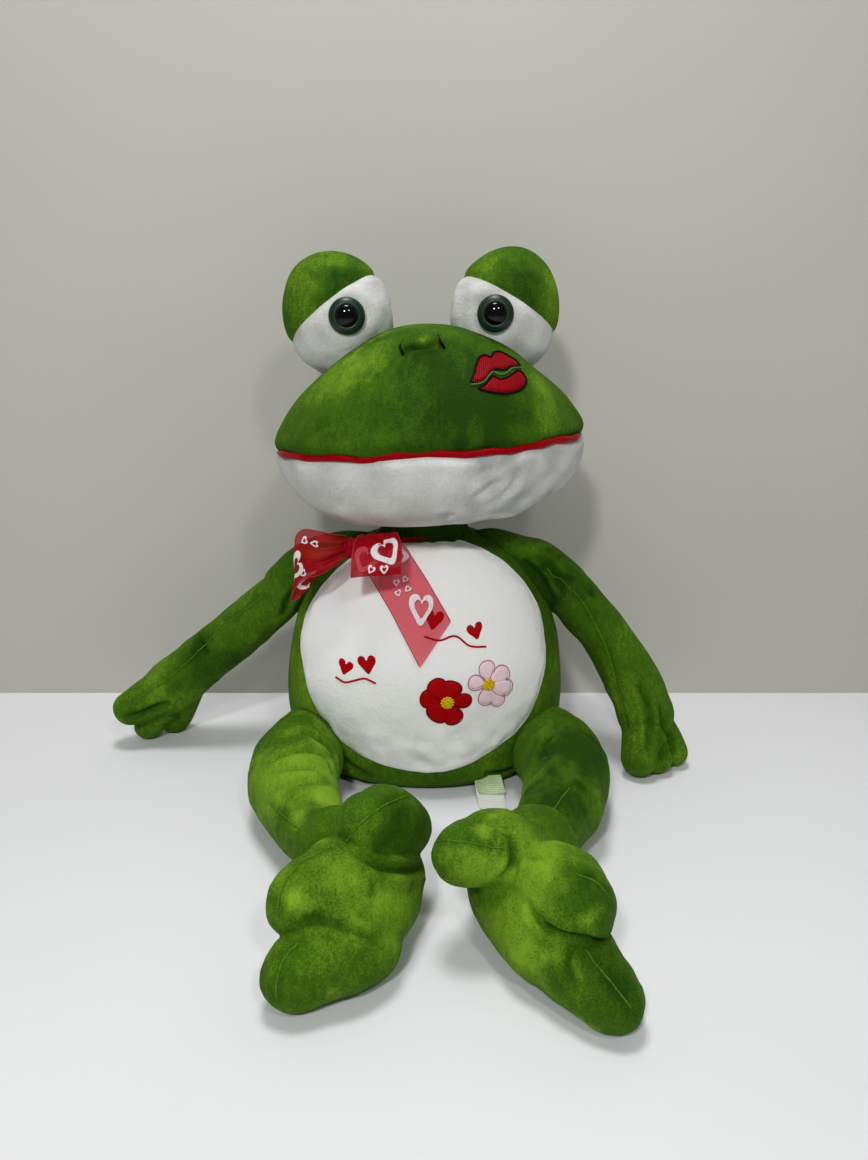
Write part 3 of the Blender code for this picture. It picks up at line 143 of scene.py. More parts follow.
# How far a toe's rounded tip reaches, as a share of its radius there
TOE_TAPER_SHARES, TOE_POINT = (0.94, 1.0, 0.86), 1.30
PAD_POINTS = {
    "right": ((0.077, -0.092, -0.02), (0.277, -0.246, -0.04), (0.246, -0.508, -0.04), (0.162, -0.723, -0.07)),
    "left": ((-0.062, -0.085, -0.02), (-0.169, -0.277, -0.04), (-0.138, -0.508, -0.04),
             (-0.054, -0.715, -0.07)),
}
TOE_POINTS = {
    "right": (((0.400, -0.185, 0.185), (0.335, -0.308, 0.295), (0.278, -0.4, 0.345)),
              ((0.262, -0.475, 0.07), (0.135, -0.550, 0.105), (0.055, -0.605, 0.105)),
              ((0.246, -0.692, -0.11), (0.138, -0.769, -0.11), (0.038, -0.838, -0.11))),
    "left": (((-0.2, -0.415, 0.169), (-0.3, -0.469, 0.231), (-0.385, -0.515, 0.246)),
             ((-0.077, -0.538, 0.11), (-0.015, -0.662, 0.165), (0.025, -0.764, 0.18)),
             ((-0.062, -0.723, -0.11), (0.038, -0.846, -0.11), (0.123, -0.954, -0.12))),
}

# Lines on the plush as the photograph shows them, in its pixels
ARM_SEAMS = {
    "right": ((261, 597), (232, 619), (194, 655), (166, 680), (145, 694), (131, 706)),
    "left": ((548, 568), (578, 596), (605, 646), (614, 679), (626, 729)),
}
LEG_SEAMS = {
    "right": ((268, 803), (280, 814), (291, 823), (308, 834)),
    "left": ((570, 787), (562, 797), (550, 815)),
}
TOE_SEAMS = {
    "right": (((346, 841), (362, 822), (388, 803), (410, 795)),
              ((276, 908), (284, 882), (305, 858), (328, 846)),
              ((276, 1000), (276, 980), (283, 958), (297, 942))),
    "left": (((436, 841), (455, 840), (480, 844), (508, 849)), ((606, 890), (596, 880), (580, 874)),
             ((632, 1008), (618, 990), (600, 968), (586, 950))),
}
# Folds, each with its share of the full depth
THIGH_FOLDS = {
    "right": ((1.0, ((282, 737), (305, 733), (322, 743), (334, 757), (337, 774))),
              (1.0, ((268, 766), (288, 753), (311, 751), (328, 761), (334, 777))),
              (0.8, ((265, 776), (288, 768), (317, 771), (330, 778))),
              (0.7, ((297, 786), (320, 782), (333, 784))),
              (1.0, ((325, 743), (345, 763), (357, 777)))),
    "left": ((0.8, ((560, 722), (545, 745), (534, 772))), (0.6, ((585, 735), (600, 748), (592, 768))),
             (0.8, ((536, 752), (548, 757), (538, 768)))),
}
FOOT_FOLDS = {
    "right": ((1.0, ((350, 852), (378, 866), (405, 870), (424, 868))),
              (0.2, ((360, 866), (373, 883), (372, 905), (362, 922))),
              (0.8, ((302, 920), (322, 921), (345, 927), (360, 934), (380, 942)))),
    "left": ((1.0, ((508, 834), (515, 850), (514, 864), (500, 880))),
             (0.4, ((524, 852), (536, 858), (550, 858))),
             (1.2, ((526, 900), (536, 916), (555, 930), (580, 937), (606, 936))),
             (0.6, ((569, 942), (566, 966), (574, 992))), (0.4, ((590, 842), (572, 858), (566, 878)))),
}
ARM_FOLDS = {
    "right": ((1.0, ((300, 585), (288, 600), (284, 616))), (0.8, ((246, 586), (240, 600))),
              (0.8, ((200, 640), (206, 655))), (1.0, ((124, 716), (140, 714), (156, 707), (172, 702)))),
    "left": ((1.5, ((522, 560), (536, 574), (546, 588), (552, 600))),
             (0.8, ((548, 556), (560, 580), (566, 600))),
             (1.0, ((638, 684), (646, 702), (649, 722), (649, 740), (648, 752))),
             (1.0, ((660, 706), (663, 722), (668, 742)))),
}

# Marks, then shares of the full depth and width
HEAD_FOLDS = (
    (((404, 352), (414, 349), (426, 347), (437, 345)), 1.0, 0.6),
    (((399, 355), (392, 364), (384, 378)), 0.4, 0.55),
    (((405, 356), (401, 368), (400, 384)), 0.35, 0.55), (((417, 352), (415, 364), (411, 378)), 0.3, 0.55),
    (((430, 350), (434, 362), (436, 378)), 0.3, 0.55), (((445, 350), (452, 360), (462, 372)), 0.4, 0.55),
    (((300, 440), (325, 425), (345, 420)), 0.4, 1.2), (((474, 500), (490, 488), (506, 484)), 0.8, 1.0),
    (((500, 470), (512, 455), (520, 448)), 0.5, 1.0), (((425, 528), (440, 518), (452, 514)), 0.9, 1.0),
    (((330, 512), (345, 500), (350, 488)), 0.3, 1.2), (((466, 470), (480, 476), (492, 474)), 0.5, 1.0),
    (((500, 496), (512, 488), (518, 476)), 0.6, 0.8),
)

# How the nap lies, and where light and shade are painted on the pile: a mark in the photograph's pixels, its
# radius there, and how much lighter it looks
NAP_LIGHT_AND_SHADE_MARKS = {
    "eyelid_right": ((338, 290, 18, -1.0), (352, 270, 14, -0.6), (303, 285, 18, 0.2)),
    "eyelid_left": ((515, 278, 18, -0.9), (535, 295, 16, -0.6), (498, 262, 14, 0.15), (552, 280, 10, 0.2)),
    # The snout's marks paint light on its upper left and on the bridge of the nose, and shade on its right and
    # under the bridge
    "snout": ((325, 385, 42, 0.75), (380, 348, 30, 0.5), (440, 350, 25, 0.1), (470, 395, 48, -0.7),
              (395, 430, 40, -0.25), (545, 420, 22, 0.5), (500, 430, 35, -0.5), (300, 425, 22, -0.45),
              (345, 440, 20, 0.25), (540, 385, 14, 0.5), (424, 340, 9, 0.9),
              (411, 350, 7, -0.8), (430, 351, 8, -0.6)),
    # The torso's first three marks and the left arm's third to fifth paint the shade in the armpit fold, and
    # the torso's mark at (500, 545) the jaw's shadow
    "torso": ((530, 568, 12, -1.3), (540, 582, 10, -1.4), (547, 594, 9, -1.4), (556, 650, 22, 0.1),
              (300, 690, 30, 0.5), (500, 545, 40, -0.6), (400, 780, 60, -0.1),
              (330, 745, 26, 0.2), (545, 600, 18, 0.0)),
    "arm_right": ((255, 585, 24, -0.3), (190, 650, 26, -0.35), (215, 670, 20, -0.6), (140, 705, 20, -0.2)),
    "arm_left": ((590, 590, 24, -0.1), (640, 660, 24, -0.2), (532, 568, 12, -1.3),
                 (541, 582, 10, -1.4), (549, 594, 10, -1.4), (560, 575, 18, -0.5), (630, 720, 24, 0.4),
                 (590, 660, 20, -0.4)),
    "leg_right": ((300, 765, 45, 0.9), (330, 800, 20, 0.9), (275, 810, 22, -0.1)),
    "leg_left": ((590, 750, 36, -1.7), (560, 800, 26, -0.8), (545, 735, 18, 0.5), (612, 745, 10, 0.5)),
    "foot_right": ((395, 815, 26, -0.4), (310, 880, 34, 0.1), (400, 890, 26, 0.4), (330, 970, 34, 0.2),
                   (345, 885, 22, 0.5),
                   (280, 880, 12, 0.5), (272, 970, 12, 0.5), (360, 840, 12, 0.5)),
    "foot_left": ((480, 836, 22, -0.8), (545, 850, 38, 0.8), (590, 880, 20, -0.6), (520, 930, 40, 0.8),
                  (545, 890, 20, 0.3), (615, 985, 18, -0.55), (590, 990, 20, 0.6), (480, 866, 16, 0.5)),
}


# Finer sizes of the sewing, in metres unless their names or comments say otherwise. A pattern of waves is
# (width of a lump, seed), and a patch of stitches (height, spacing of its points, width of its rounded edge)

# How full a cover is stuffed, from 0 to 1
COVER_FILL, TIGHT_FILL, LIMB_FILL = 0.85, 0.9, 0.8
# How light the parted pile along a seam is, from 0 to 1
THREAD_NAP = 0.8
# Patches and threads are cast onto a skin from this far, or where that misses it, drawn in from this near
CAST_FROM, NEAR_FROM = 0.3, 0.1
# The spacing of a patch's rows and the clear strip in its border, as shares, and how deep its edge lies
ROW_SHARE, BORDER_SHARE, PATCH_SINK = 0.866, 0.45, 0.0003

# The pile's light and dark patches, and the ragged edge of each mark, as (share, width of a patch)
NAP_PATCHES, NAP_EDGES = ((0.22, 0.045), (0.12, 0.016)), ((0.3, 0.014), (0.15, 0.006))
NAP_REACH_SHARE, NAP_MIDDLE, NAP_SHARE = 1.15, 0.5, 0.36

# Torso and belly
TORSO_ROWS, TORSO_SIDES = 150, (150, 70)
TORSO_LUMPS, TORSO_NAP_SEED = (0.030, 3), 11
# Folds, as marks in the photograph's pixels
TORSO_FOLDS = (((524, 545), (536, 566), (547, 590), (552, 615)), ((318, 560), (306, 585), (300, 610)),
               ((330, 745), (350, 765), (372, 777)), ((520, 765), (500, 773), (482, 775)))
# The belly's middle counts as this far inside its seam, and the back as this far outside it
BELLY_REACH, OFF_BELLY, SIDE_SEAM_SHARE, BELLY_ROUNDING = 0.095, -0.05, 0.8, 0.010
# The belly sags and crumples below a height, more and more over the next length, and clear of its seam
SAG_TOP, SAG_FADE, SAG_EDGE = 0.085, 0.05, 0.006
BELLY_CRUMPLE, CRUMPLE_SLANT, BELLY_CRUMPLES = 0.0012, 1.8, (0.012, 5)
BELLY_PUCKER, PUCKER_INSET, PUCKER_WIDTH, BELLY_PUCKERS = 0.0006, 0.004, 0.005, (0.0085, 6)
# The torso isn't swollen below this height, where it stands, and fully so this much higher
STAND_FROM, STAND_FADE = 0.003, 0.01
# The belly's white pile: how light it lies and how unevenly, and how much darker the painted shade makes it
# where it sags
BELLY_NAP, BELLY_NAP_UNEVEN, BELLY_PILE = 0.95, 0.08, (0.020, 15)
BELLY_SAG_SHADE, BELLY_SAG_SHADE_UNEVEN, BELLY_SAG_SHADES = 0.34, 0.35, (0.010, 16)

# Neck: rings as shares of its radius, how high and how wide
NECK_SHARES = ((-0.62, 1.30), (-0.45, 1.22), (-0.25, 1.12), (-0.05, 1.06), (0.1, 1.06), (0.3, 1.12), (0.5, 1.2),
               (0.62, 1.26))
# The neck's nap is drawn at a small share of its lightness, as the painted shadow of the jaw
NECK_SIDES, NECK_END_SHARE, NECK_SHADOWED_SHARE, NECK_NAP_SEED = 96, 0.66, 0.2, 71
NECK_GATHER_SHARE, NECK_GATHERS, NECK_LUMP_SHARE, NECK_LUMPS = 0.03, 26, 0.012, 7

# Head
HEAD_ROWS, HEAD_SIDES, HEAD_LUMP_SHARE, HEAD_LUMPS = 170, (170, 80), 1.2, (0.034, 21)
MOUTH_WAVES, MOUTH_WIDER_SHARE = (0.018, 26), 0.15
# Where the mouth's deep groove fades into a plain seam, and where that ends at the side seams
MOUTH_FADE_FROM, MOUTH_FADE, MOUTH_END_FADE = 0.012, 0.02, 0.004
# The rolls over the jaw, the slack cheek and the pulls over the mouth: height, then the waves as (squash,
# width, seed), then where they are: axis, middle, reach and top
HEAD_UNEVEN = (
    (0.0012, (0.4, 0.016, 22), (2, -0.008, 0.006, math.inf)), (0.0010, (1, 0.013, 23), (0, 0.06, 0.04, -0.01)),
    (0.0007, (0.3, 0.010, 24), (2, 0.012, 0.010, math.inf)),
)
# The bridge of the nose and the dents of the nostrils: marks, how far they rise, and their reach
NOSE_SHAPES = (
    (((403, 350), (410, 341), (423, 337), (437, 340)), 0.0040, 0.0062),
    (((400, 346), (403, 354)), -0.0046, 0.0042), (((439, 336), (443, 348)), -0.0046, 0.0042),
)
NOSTRILS = (((400, 346), (401, 350), (403, 354)), ((438, 336), (440, 341), (444, 348)))
STITCH_LIFT, STITCH_RADIUS = (0, -0.0004, 0.0004), 0.0011
SNOUT_NAP_SEED, SNOUT_DARKER = 25, 0.12
# The jaw's white pile, drawn dark as painted shade where the jaw faces down, and how much greyer the painted
# shade makes it on the cheek at a place along X
JAW_SHADED_NAP, JAW_NAP_UNEVEN, JAW_PILE = 0.32, 0.08, (0.022, 27)
JAW_CHEEK_SHADE, JAW_CHEEK_SHADE_X, JAW_CHEEK_SHADE_REACH, JAW_CHEEK_SHADES = 0.14, 0.055, 0.045, (0.012, 28)
# The satin in the mouth: how it is divided, how it wavers and how it stands out
STRIP_TABLE_ROWS, STRIP_POINTS, STRIP_END_POINTS, STRIP_SIDES = 400, 260, 14, 14
STRIP_WAVES, STRIP_WAVE, STRIP_WAVE_SHARE, STRIP_SINK, STRIP_PROUD = (0.012, 31), 0.0003, 0.16, -0.0020, 0.0017

# Eyes
BULB_ROWS, BULB_SIDES = 84, (66, 44)
BULB_LUMP_SHARE, BULB_LUMP, BULB_CRUMPLE, BULB_CRUMPLE_SIZE = 0.8, 0.022, 0.0005, 0.010
# The white of the eye bulbs is drawn darker than the belly's, as painted shade
BULB_SHADED_NAP, BULB_NAP_UNEVEN, BULB_PILE, LID_SEAM_SHARE = 0.28, 0.08, 0.016, 0.8
# A safety eye sits this far inward and down on its bulb, turned inward, in a seat with a raised rim
EYE_ON_BULB, EYE_TURN_DEG, EYE_SIDES, EYE_FACING = (0.0105, -0.002), 5.0, 72, 0.02
EYE_SEAT_RADIUS, EYE_SEAT_DEPTH, EYE_RIM, EYE_RIM_RADIUS, EYE_RIM_REACH = 0.0165, 0.0016, 0.0008, 0.021, 0.005
# The iris disc from its back round its rim, then down into the pupil's socket: share of the radius, height
IRIS_RIM = ((0.96, -0.0045), (1.0, -0.0040), (1.0, 0.0006), (0.985, 0.0013), (0.95, 0.0020), (0.90, 0.0027),
            (0.84, 0.0034), (0.78, 0.0040), (0.71, 0.0045))
IRIS_SOCKET = ((1.03, 0.0048), (1.01, 0.0044), (1.0, 0.0034))
PUPIL_HEIGHTS, PUPIL_EDGE_SHARE, PUPIL_TIP = (0.0032, 0.0042, 0.0040), 0.99, 0.0001

# Limbs. A crease begins this share along a lobe, and is deepest where the skin looks up
LIMB_LUMP, LIMB_FINE_LUMP, LIMB_FINE_SHARE, FINGER_ROOT_SHARE = 0.028, 0.011, 0.4, 0.35
CREASE_REACH, CREASE_SHADE, CREASE_SLOPE, CREASE_FROM = 0.0040, 0.8, 4, 1.6
CREASE_SIDE, CREASE_UP, CREASE_ROUNDS = 0.15, 1.6, 10
DEEPER_SHARE, NARROWER_SHARE = 1.3, 0.8
# Along a seam of a limb the pile parts in a valley, and a pale line stands a little proud in it
THREAD_VALLEY, THREAD_DEPTH, THREAD_SHADE = 0.0040, 0.0014, 0.08
PARTED_RADIUS, PARTED_PROUD_SHARE = 0.0005, 0.35
PINCH_SEARCH, PINCH_WIDTH, PINCH_DEPTH, PINCH_SHADE = 0.02, 0.0045, 0.0018, 0.25

# Embroidery
FRONT_LOOK = Matrix.Identity(4)
# Petals: the way they point in degrees, then how far they reach and half their width as shares of the flower
RED_PETALS = ((0, 0.95, 0.29), (73, 0.86, 0.40), (122, 1.06, 0.38), (168, 1.05, 0.38), (231, 0.92, 0.44),
              (291, 0.98, 0.37))
PINK_PETALS = ((95, 0.98, 0.31), (31, 0.98, 0.36), (-20, 1.08, 0.34), (-61, 1.16, 0.31), (-97, 0.92, 0.32),
               (166, 0.86, 0.30))
# Flowers: centre in the photograph's pixels, radius, share at which the edging lies, petals
RED_FLOWER = ((447, 702), 0.0205, 0.97, RED_PETALS)
PINK_FLOWER = ((488, 684), 0.0185, 1.05, PINK_PETALS)
PETAL_POINTS, PETAL_ROOT, PETAL_SWELL, PETAL_HEIGHT, PETAL_STEP = 26, 0.12, 0.28, 0.0013, 0.0003
PETAL_PATCH, PETAL_EDGE_LIFT, PETAL_EDGE_SHARE = (0.0013, 0.0024), 0.0003, 0.24
CENTRE_POINTS, CENTRE_SHARE, CENTRE_PATCH = 28, 0.27, (0.0024, 0.0012, 0.0040)
# Rings of stitched knots: share of the flower's radius, how many, and how high they lie
KNOT_RINGS, KNOT_TURN_DEG = ((0.20, 12, 0.0019), (0.11, 7, 0.0024), (0.0, 1, 0.0026)), 11
BEAD_HALF, BEAD_RADIUS = 0.0004, 0.00085
# The lips' outlines and the line between them, in the photograph's pixels
UPPER_LIP = (
    (471.5, 382.6), (474, 374), (477, 363), (480, 357), (486, 355.8), (490.6, 357.5), (493, 353.5), (498, 352),
    (504, 354), (511, 358), (516, 361.5), (519.5, 365.8), (514, 366.8), (510, 366.9), (507, 369.5),
    (501, 370.2), (495, 369.8), (491, 372), (488, 377), (484, 381), (478, 382.8),
)
LOWER_LIP = (
    (479, 388.7), (484, 385.5), (488.5, 380.5), (493, 376.5), (500, 379.6), (507, 377.6), (512, 374.5),
    (518, 371), (523, 374.5), (526, 381.5), (524.5, 386), (520, 390), (512, 393), (503, 394), (494, 393),
    (485, 391),
)
LIP_PARTING = ((471.5, 385), (478, 384.5), (484.4, 381.8), (488.5, 376.5), (492.3, 372.8), (500, 375.3),
               (506.8, 373.2), (511.5, 369.2), (520.3, 368.5))
LIP_POINTS, LIP_PATCH, LIP_EDGE_LIFT, LIP_EDGE_SHARE = 80, (0.0016, 0.0012, 0.0018), 0.0004, 0.6
PARTING_POINTS, PARTING_LIFT = 60, 0.0007
# The belly's hearts: x, z, size and tilt in degrees, and the stems that join them
HEART = ((0.0, -0.55), (-0.30, -0.22), (-0.50, 0.08), (-0.47, 0.34), (-0.27, 0.44), (-0.08, 0.36),
         (0.0, 0.18), (0.08, 0.36), (0.27, 0.44), (0.47, 0.34), (0.50, 0.08), (0.30, -0.22))
HEARTS = ((-0.0615, 0.1105, 0.0125, -14), (-0.0440, 0.1150, 0.0150, 10), (0.0080, 0.1500, 0.0150, -12),
          (0.0400, 0.1400, 0.0130, 16))
HEART_STEMS = (((-0.0690, 0.1010), (-0.0620, 0.0985), (-0.0540, 0.1010), (-0.0460, 0.1035), (-0.0375, 0.1010)),
               ((0.0010, 0.1375), (0.0120, 0.1345), (0.0240, 0.1370), (0.0360, 0.1290), (0.0480, 0.1275)))
HEART_POINTS, HEART_PATCH, STEM_POINTS, STEM_LIFT, STEM_SHARE = 30, (0.0012, 0.0012, 0.0014), 24, 0.0004, 0.5

# Ribbon
KNOT = Vector((-0.056, -0.062, 0.203))
KNOT_GRID, KNOT_HALVES, KNOT_TAPER, KNOT_CRUMPLE = (49, 17), (0.0068, 0.0050, 0.0085), 0.28, 0.07
CLOTH_COLUMNS, PLEATS, PLEAT_HIGHEST, ACROSS_WEIGHT, RIPPLE_SIZE = 41, 3, 0.0022, 0.02, 0.016
SELVAGE_RADIUS = 0.00035
# The gathered band hugs the neck, inside its CAD ring, and a part of its turn is drawn out to the knot
BAND_HALF, BAND_BACK, BAND_WIDTH, BAND_DRAWN = (0.0365, 0.0345), 0.012, 0.0055, 0.42
BAND_POINTS, BAND_COLUMNS, BAND_INSET, BAND_FLARE = 97, 15, 0.0035, 0.25
BAND_PLEAT, BAND_PLEAT_TURN, BAND_UNEVEN = 0.0014, 15.7, 0.3
# The side loop on its way: place, width, and how it is turned about Y in radians
SIDE_LOOP = (
    ((-0.060, -0.066, 0.206), 0.015, 0.05), ((-0.068, -0.072, 0.204), 0.024, 0.0),
    ((-0.079, -0.073, 0.2025), 0.033, -0.08), ((-0.090, -0.070, 0.2005), 0.037, -0.12),
    ((-0.0985, -0.064, 0.193), 0.037, -0.05), ((-0.0980, -0.058, 0.1775), 0.037, 0.30),
    ((-0.0880, -0.0565, 0.1775), 0.037, 0.58), ((-0.076, -0.0575, 0.190), 0.030, 0.70),
    ((-0.063, -0.061, 0.201), 0.016, 0.60),
)
# The front loop on its way down and up again: share of the drop, place along Y, width
FRONT_LOOP_TOP, FRONT_LOOP_END = Vector((-0.0345, -0.0712, 0.2158)), Vector((-0.0350, -0.0895, 0.1880))
FRONT_LOOP_ACROSS = (1, 0.10, 0.06)
FRONT_LOOP = ((0.0, 0.0, 0.030), (0.18, -0.006, 0.035), (0.55, -0.006, 0.037), (0.90, -0.003, 0.037),
              (1.0, 0.0, 0.037), (0.92, 0.003, 0.037), (0.60, 0.0045, 0.037), (0.25, 0.005, 0.035),
              (0.0, 0.003, 0.028))
SIDE_LOOP_RIPPLE, FRONT_LOOP_RIPPLE = 0.0010, 0.0008
# The tail's two edges from the knot to its slanted end, in the photograph's pixels
TAIL_LEFT = ((356, 556), (368, 573), (391, 612), (420, 668))
TAIL_RIGHT = ((370, 538), (405, 546), (428, 582), (451, 622))
TAIL_GRID, TAIL_LIFT, TAIL_WAVE, TAIL_HANG_SHARE, TAIL_BEHIND_KNOT = (72, 24), 0.0014, 0.0010, 0.5, 0.003
# Printed hearts on each strip: share along, share across, height, turn in degrees
SIDE_LOOP_HEARTS = ((0.43, 0.60, 0.0180, 95), (0.25, 0.30, 0.0058, 80), (0.32, 0.22, 0.0058, 100),
                    (0.36, 0.86, 0.0055, 100), (0.66, 0.55, 0.0185, 250), (0.84, 0.70, 0.0058, 240))
FRONT_LOOP_HEARTS = ((0.24, 0.70, 0.0205, 120), (0.42, 0.66, 0.0060, 90), (0.41, 0.40, 0.0055, 60),
                     (0.70, 0.28, 0.0190, -70))
TAIL_HEARTS = ((0.36, 0.72, 0.0190, 140), (0.52, 0.42, 0.0052, 60), (0.54, 0.62, 0.0050, 20),
               (0.59, 0.34, 0.0050, 80), (0.61, 0.56, 0.0052, 10), (0.77, 0.60, 0.0195, 50))
PRINTED_HEART = ((0.0, -0.56), (-0.32, -0.24), (-0.52, 0.06), (-0.50, 0.32), (-0.32, 0.46), (-0.12, 0.42),
                 (0.0, 0.24), (0.12, 0.42), (0.32, 0.46), (0.50, 0.32), (0.52, 0.06), (0.32, -0.24))
PRINT_POINTS, PRINT_LIFT, TAIL_PRINT_LIFT = 40, 0.0003, 0.0004
# The hollow of a small and of a large printed heart, and the size from which one is large
PRINT_INNER_SHARES, PRINT_LARGE, PRINT_SHIFT_SHARE = (0.50, 0.58), 0.008, 0.02

# Labels: length, how far it lies above the other one, and the way and share of its curl
CARE_LABEL, MAKER_LABEL, LABEL_GRID = (0.034, 0.0, -0.3), (0.017, 0.0014, 1), (40, 14)
LABEL_CLEAR, LABEL_DROP, LABEL_REACH = 0.0010, 0.010, 0.034
LABEL_CURL, LABEL_WAVE, LABEL_SKEW = 0.0016, 0.0005, 0.003

# Stage: lamps as name, place, size and power in watts
BOARD_SIZE, WALL_Y, ROOM_LIGHT, LAMPS_AIM = 6.0, 0.141, 0.15, Vector((0, -0.05, 0.2))
LAMPS = (("key_lamp", (-0.24, -1.30, 1.02), 0.12, 8.3), ("fill_lamp", (0.36, -1.20, 1.10), 0.12, 3.2),
         ("top_lamp", (-0.08, -0.20, 1.65), 0.4, 11.5))

# How much darker the pile looks per metre that a fold is deep, since light misses its bottom
SHADE_PER_METRE = 75.0


# Values that a user would change

def linear(code):
    """An sRGB hex colour as the linear red, green, blue and alpha that Blender takes."""
    shares = [int(code[k:k + 2], 16) / 255 for k in (1, 3, 5)]
    return (*(s / 12.92 if s <= 0.04045 else ((s + 0.055) / 1.055) ** 2.4 for s in shares), 1.0)


def metres(name, description, default):
    return bpy.props.FloatProperty(name=name, description=description, default=default, unit="LENGTH",
                                   precision=4)


def colour(name, description, code):
    return bpy.props.FloatVectorProperty(name=name, description=description, default=linear(code), size=4,
                                         min=0.0, max=1.0, subtype="COLOR")


class PlushSizes(bpy.types.PropertyGroup):
    """Sizes of the sewing and the stuffing."""
    seam_depth: metres("Seam depth", "How deep a seam between two panels lies", 0.0024)
    seam_width: metres("Seam width", "How far from a seam the plush rolls into it", 0.0036)
    mouth_depth: metres("Mouth depth", "How deep the mouth seam lies", 0.0040)
    fold_depth: metres("Fold depth", "How deep the folds of a bent limb lie", 0.0034)
    fold_width: metres("Fold width", "How far a fold's valley is from its ridge", 0.0036)
    lump_height: metres("Lump height", "How far the stuffing's lumps show", 0.0009)
    limb_mesh: metres("Limb mesh", "The spacing of the points on arms, legs and feet", 0.0020)
    crease_depth: metres("Crease depth", "How deep the creases between toes and between fingers lie", 0.0068)
    belly_rise: metres("Belly rise", "How far the belly patch stands out past its seam", 0.0016)


class FinishSizes(bpy.types.PropertyGroup):
    """Sizes of the trimmings."""
    iris_width: metres("Iris width", "Across the green disc of a safety eye", 0.028)
    pupil_width: metres("Pupil width", "Across the black dome of a safety eye", 0.0168)
    strip_height: metres("Mouth strip height", "The satin that shows in the mouth seam", 0.0050)
    ribbon_width: metres("Ribbon width", "Across the organza ribbon", 0.037)
    label_width: metres("Label width", "Across the two sewn-in labels", 0.022)
    thread_width: metres("Thread width", "Across one line of satin stitch", 0.0016)


class PlushColours(bpy.types.PropertyGroup):
    """Colours of the cloths, threads and plastics."""
    # The lit and dark greens are also the painted light and shade that the nap attribute carries
    green_light: colour("Green, lit nap", "Green plush with its nap towards the eye", "#7ca226")
    green_mid: colour("Green", "Green plush", "#3d630c")
    green_dark: colour("Green, dark nap", "Green plush with its nap away from the eye", "#1f3f05")
    white_light: colour("White", "White plush", "#f8f8f5")
    # The darker white stands for painted shade on the jaw, the eye whites and the sagging lower belly
    white_dark: colour("White, pressed", "White plush where its pile is pressed", "#a9aaa5")
    satin_red: colour("Satin red", "The mouth strip", "#a8000d")
    thread_red: colour("Thread red", "Red embroidery", "#b8040c")
    thread_pink: colour("Thread pink", "The petals of the pink flower", "#fcdde5")
    thread_yellow: colour("Thread yellow", "The centres of the flowers", "#ecca1e")
    thread_black: colour("Thread black", "Nostrils and the outline of the lips", "#16120f")
    organza_red: colour("Organza red", "The sheer ribbon", "#c4061c")
    iris_green: colour("Iris green", "The disc of the safety eyes", "#16301f")


# Skins: points and triangles, before they become pieces

class Skin:
    """A closed cover: an array of points, one of triangles, and the painted shade of its creases, folds and
    seams.
    """

    def __init__(self, points, faces):
        self.points = np.asarray(points, float)
        self.faces = np.asarray(faces, int)
        self.shade = np.zeros(len(self.points))

    def normals(self, rounds=0):
        """The way out at each point, evened out with its neighbours' for a number of rounds."""
        a, b, c = (self.points[self.faces[:, k]] for k in range(3))
        across = np.cross(b - a, c - a)
        for _ in range(rounds + 1):
            total = np.zeros_like(self.points)
            for k in range(3):
                for axis in range(3):
                    total[:, axis] += np.bincount(self.faces[:, k], across[:, axis], len(total))
            out = total / np.maximum(np.linalg.norm(total, axis=1, keepdims=True), 1e-12)
            across = out[self.faces].mean(axis=1)
        return out

    def tree(self):
        return BVHTree.FromPolygons(self.points.tolist(), self.faces.tolist())

    def swell(self, height, rounds=0):
        """Moves each point out along its normal by a height of its own."""
        self.points = self.points + self.normals(rounds) * np.asarray(height)[:, None]

    def fold(self, line, depth, width, ridge=0.5):
        """Presses a valley along a line on the skin, with a rounded ridge on both sides of it, and paints shade
        into the valley.
        """
        far, along = distance_along(self.points, line)
        fade = np.clip(4 * along * (1 - along), 0, 1) ** 0.5
        valley = np.exp(-(far / width) ** 2)
        crest = np.exp(-((far - 2.1 * width) / width) ** 2)
        self.swell((ridge * crest - valley) * depth * fade, 3)
        self.shade += valley ** 2 * fade * depth * SHADE_PER_METRE

    def part(self, keep):
        """The triangles that keep picks, with only their own points, and which points those are."""
        faces = self.faces[keep]
        used = np.unique(faces)
        place = np.full(len(self.points), -1)
        place[used] = np.arange(len(used))
        return Skin(self.points[used], place[faces]), used


def smooth_rows(table, count, round_ends=False):
    """Rows that run evenly through a table of stations on a smooth curve."""
    table = np.asarray(table, float)
    at = np.concatenate([[0], np.cumsum(np.linalg.norm(np.diff(table, axis=0), axis=1))])
    slopes = np.gradient(table, at, axis=0)
    if round_ends:
        slopes[0, 0] = slopes[-1, 0] = 0
    where = np.linspace(0, at[-1], count)
    k = np.clip(np.searchsorted(at, where, side="right") - 1, 0, len(at) - 2)
    span = (at[k + 1] - at[k])[:, None]
    t = (where - at[k])[:, None] / span
    start, end = 2 * t ** 3 - 3 * t ** 2 + 1, 3 * t ** 2 - 2 * t ** 3
    lead, trail = t ** 3 - 2 * t ** 2 + t, t ** 3 - t ** 2
    return start * table[k] + end * table[k + 1] + span * (lead * slopes[k] + trail * slopes[k + 1])


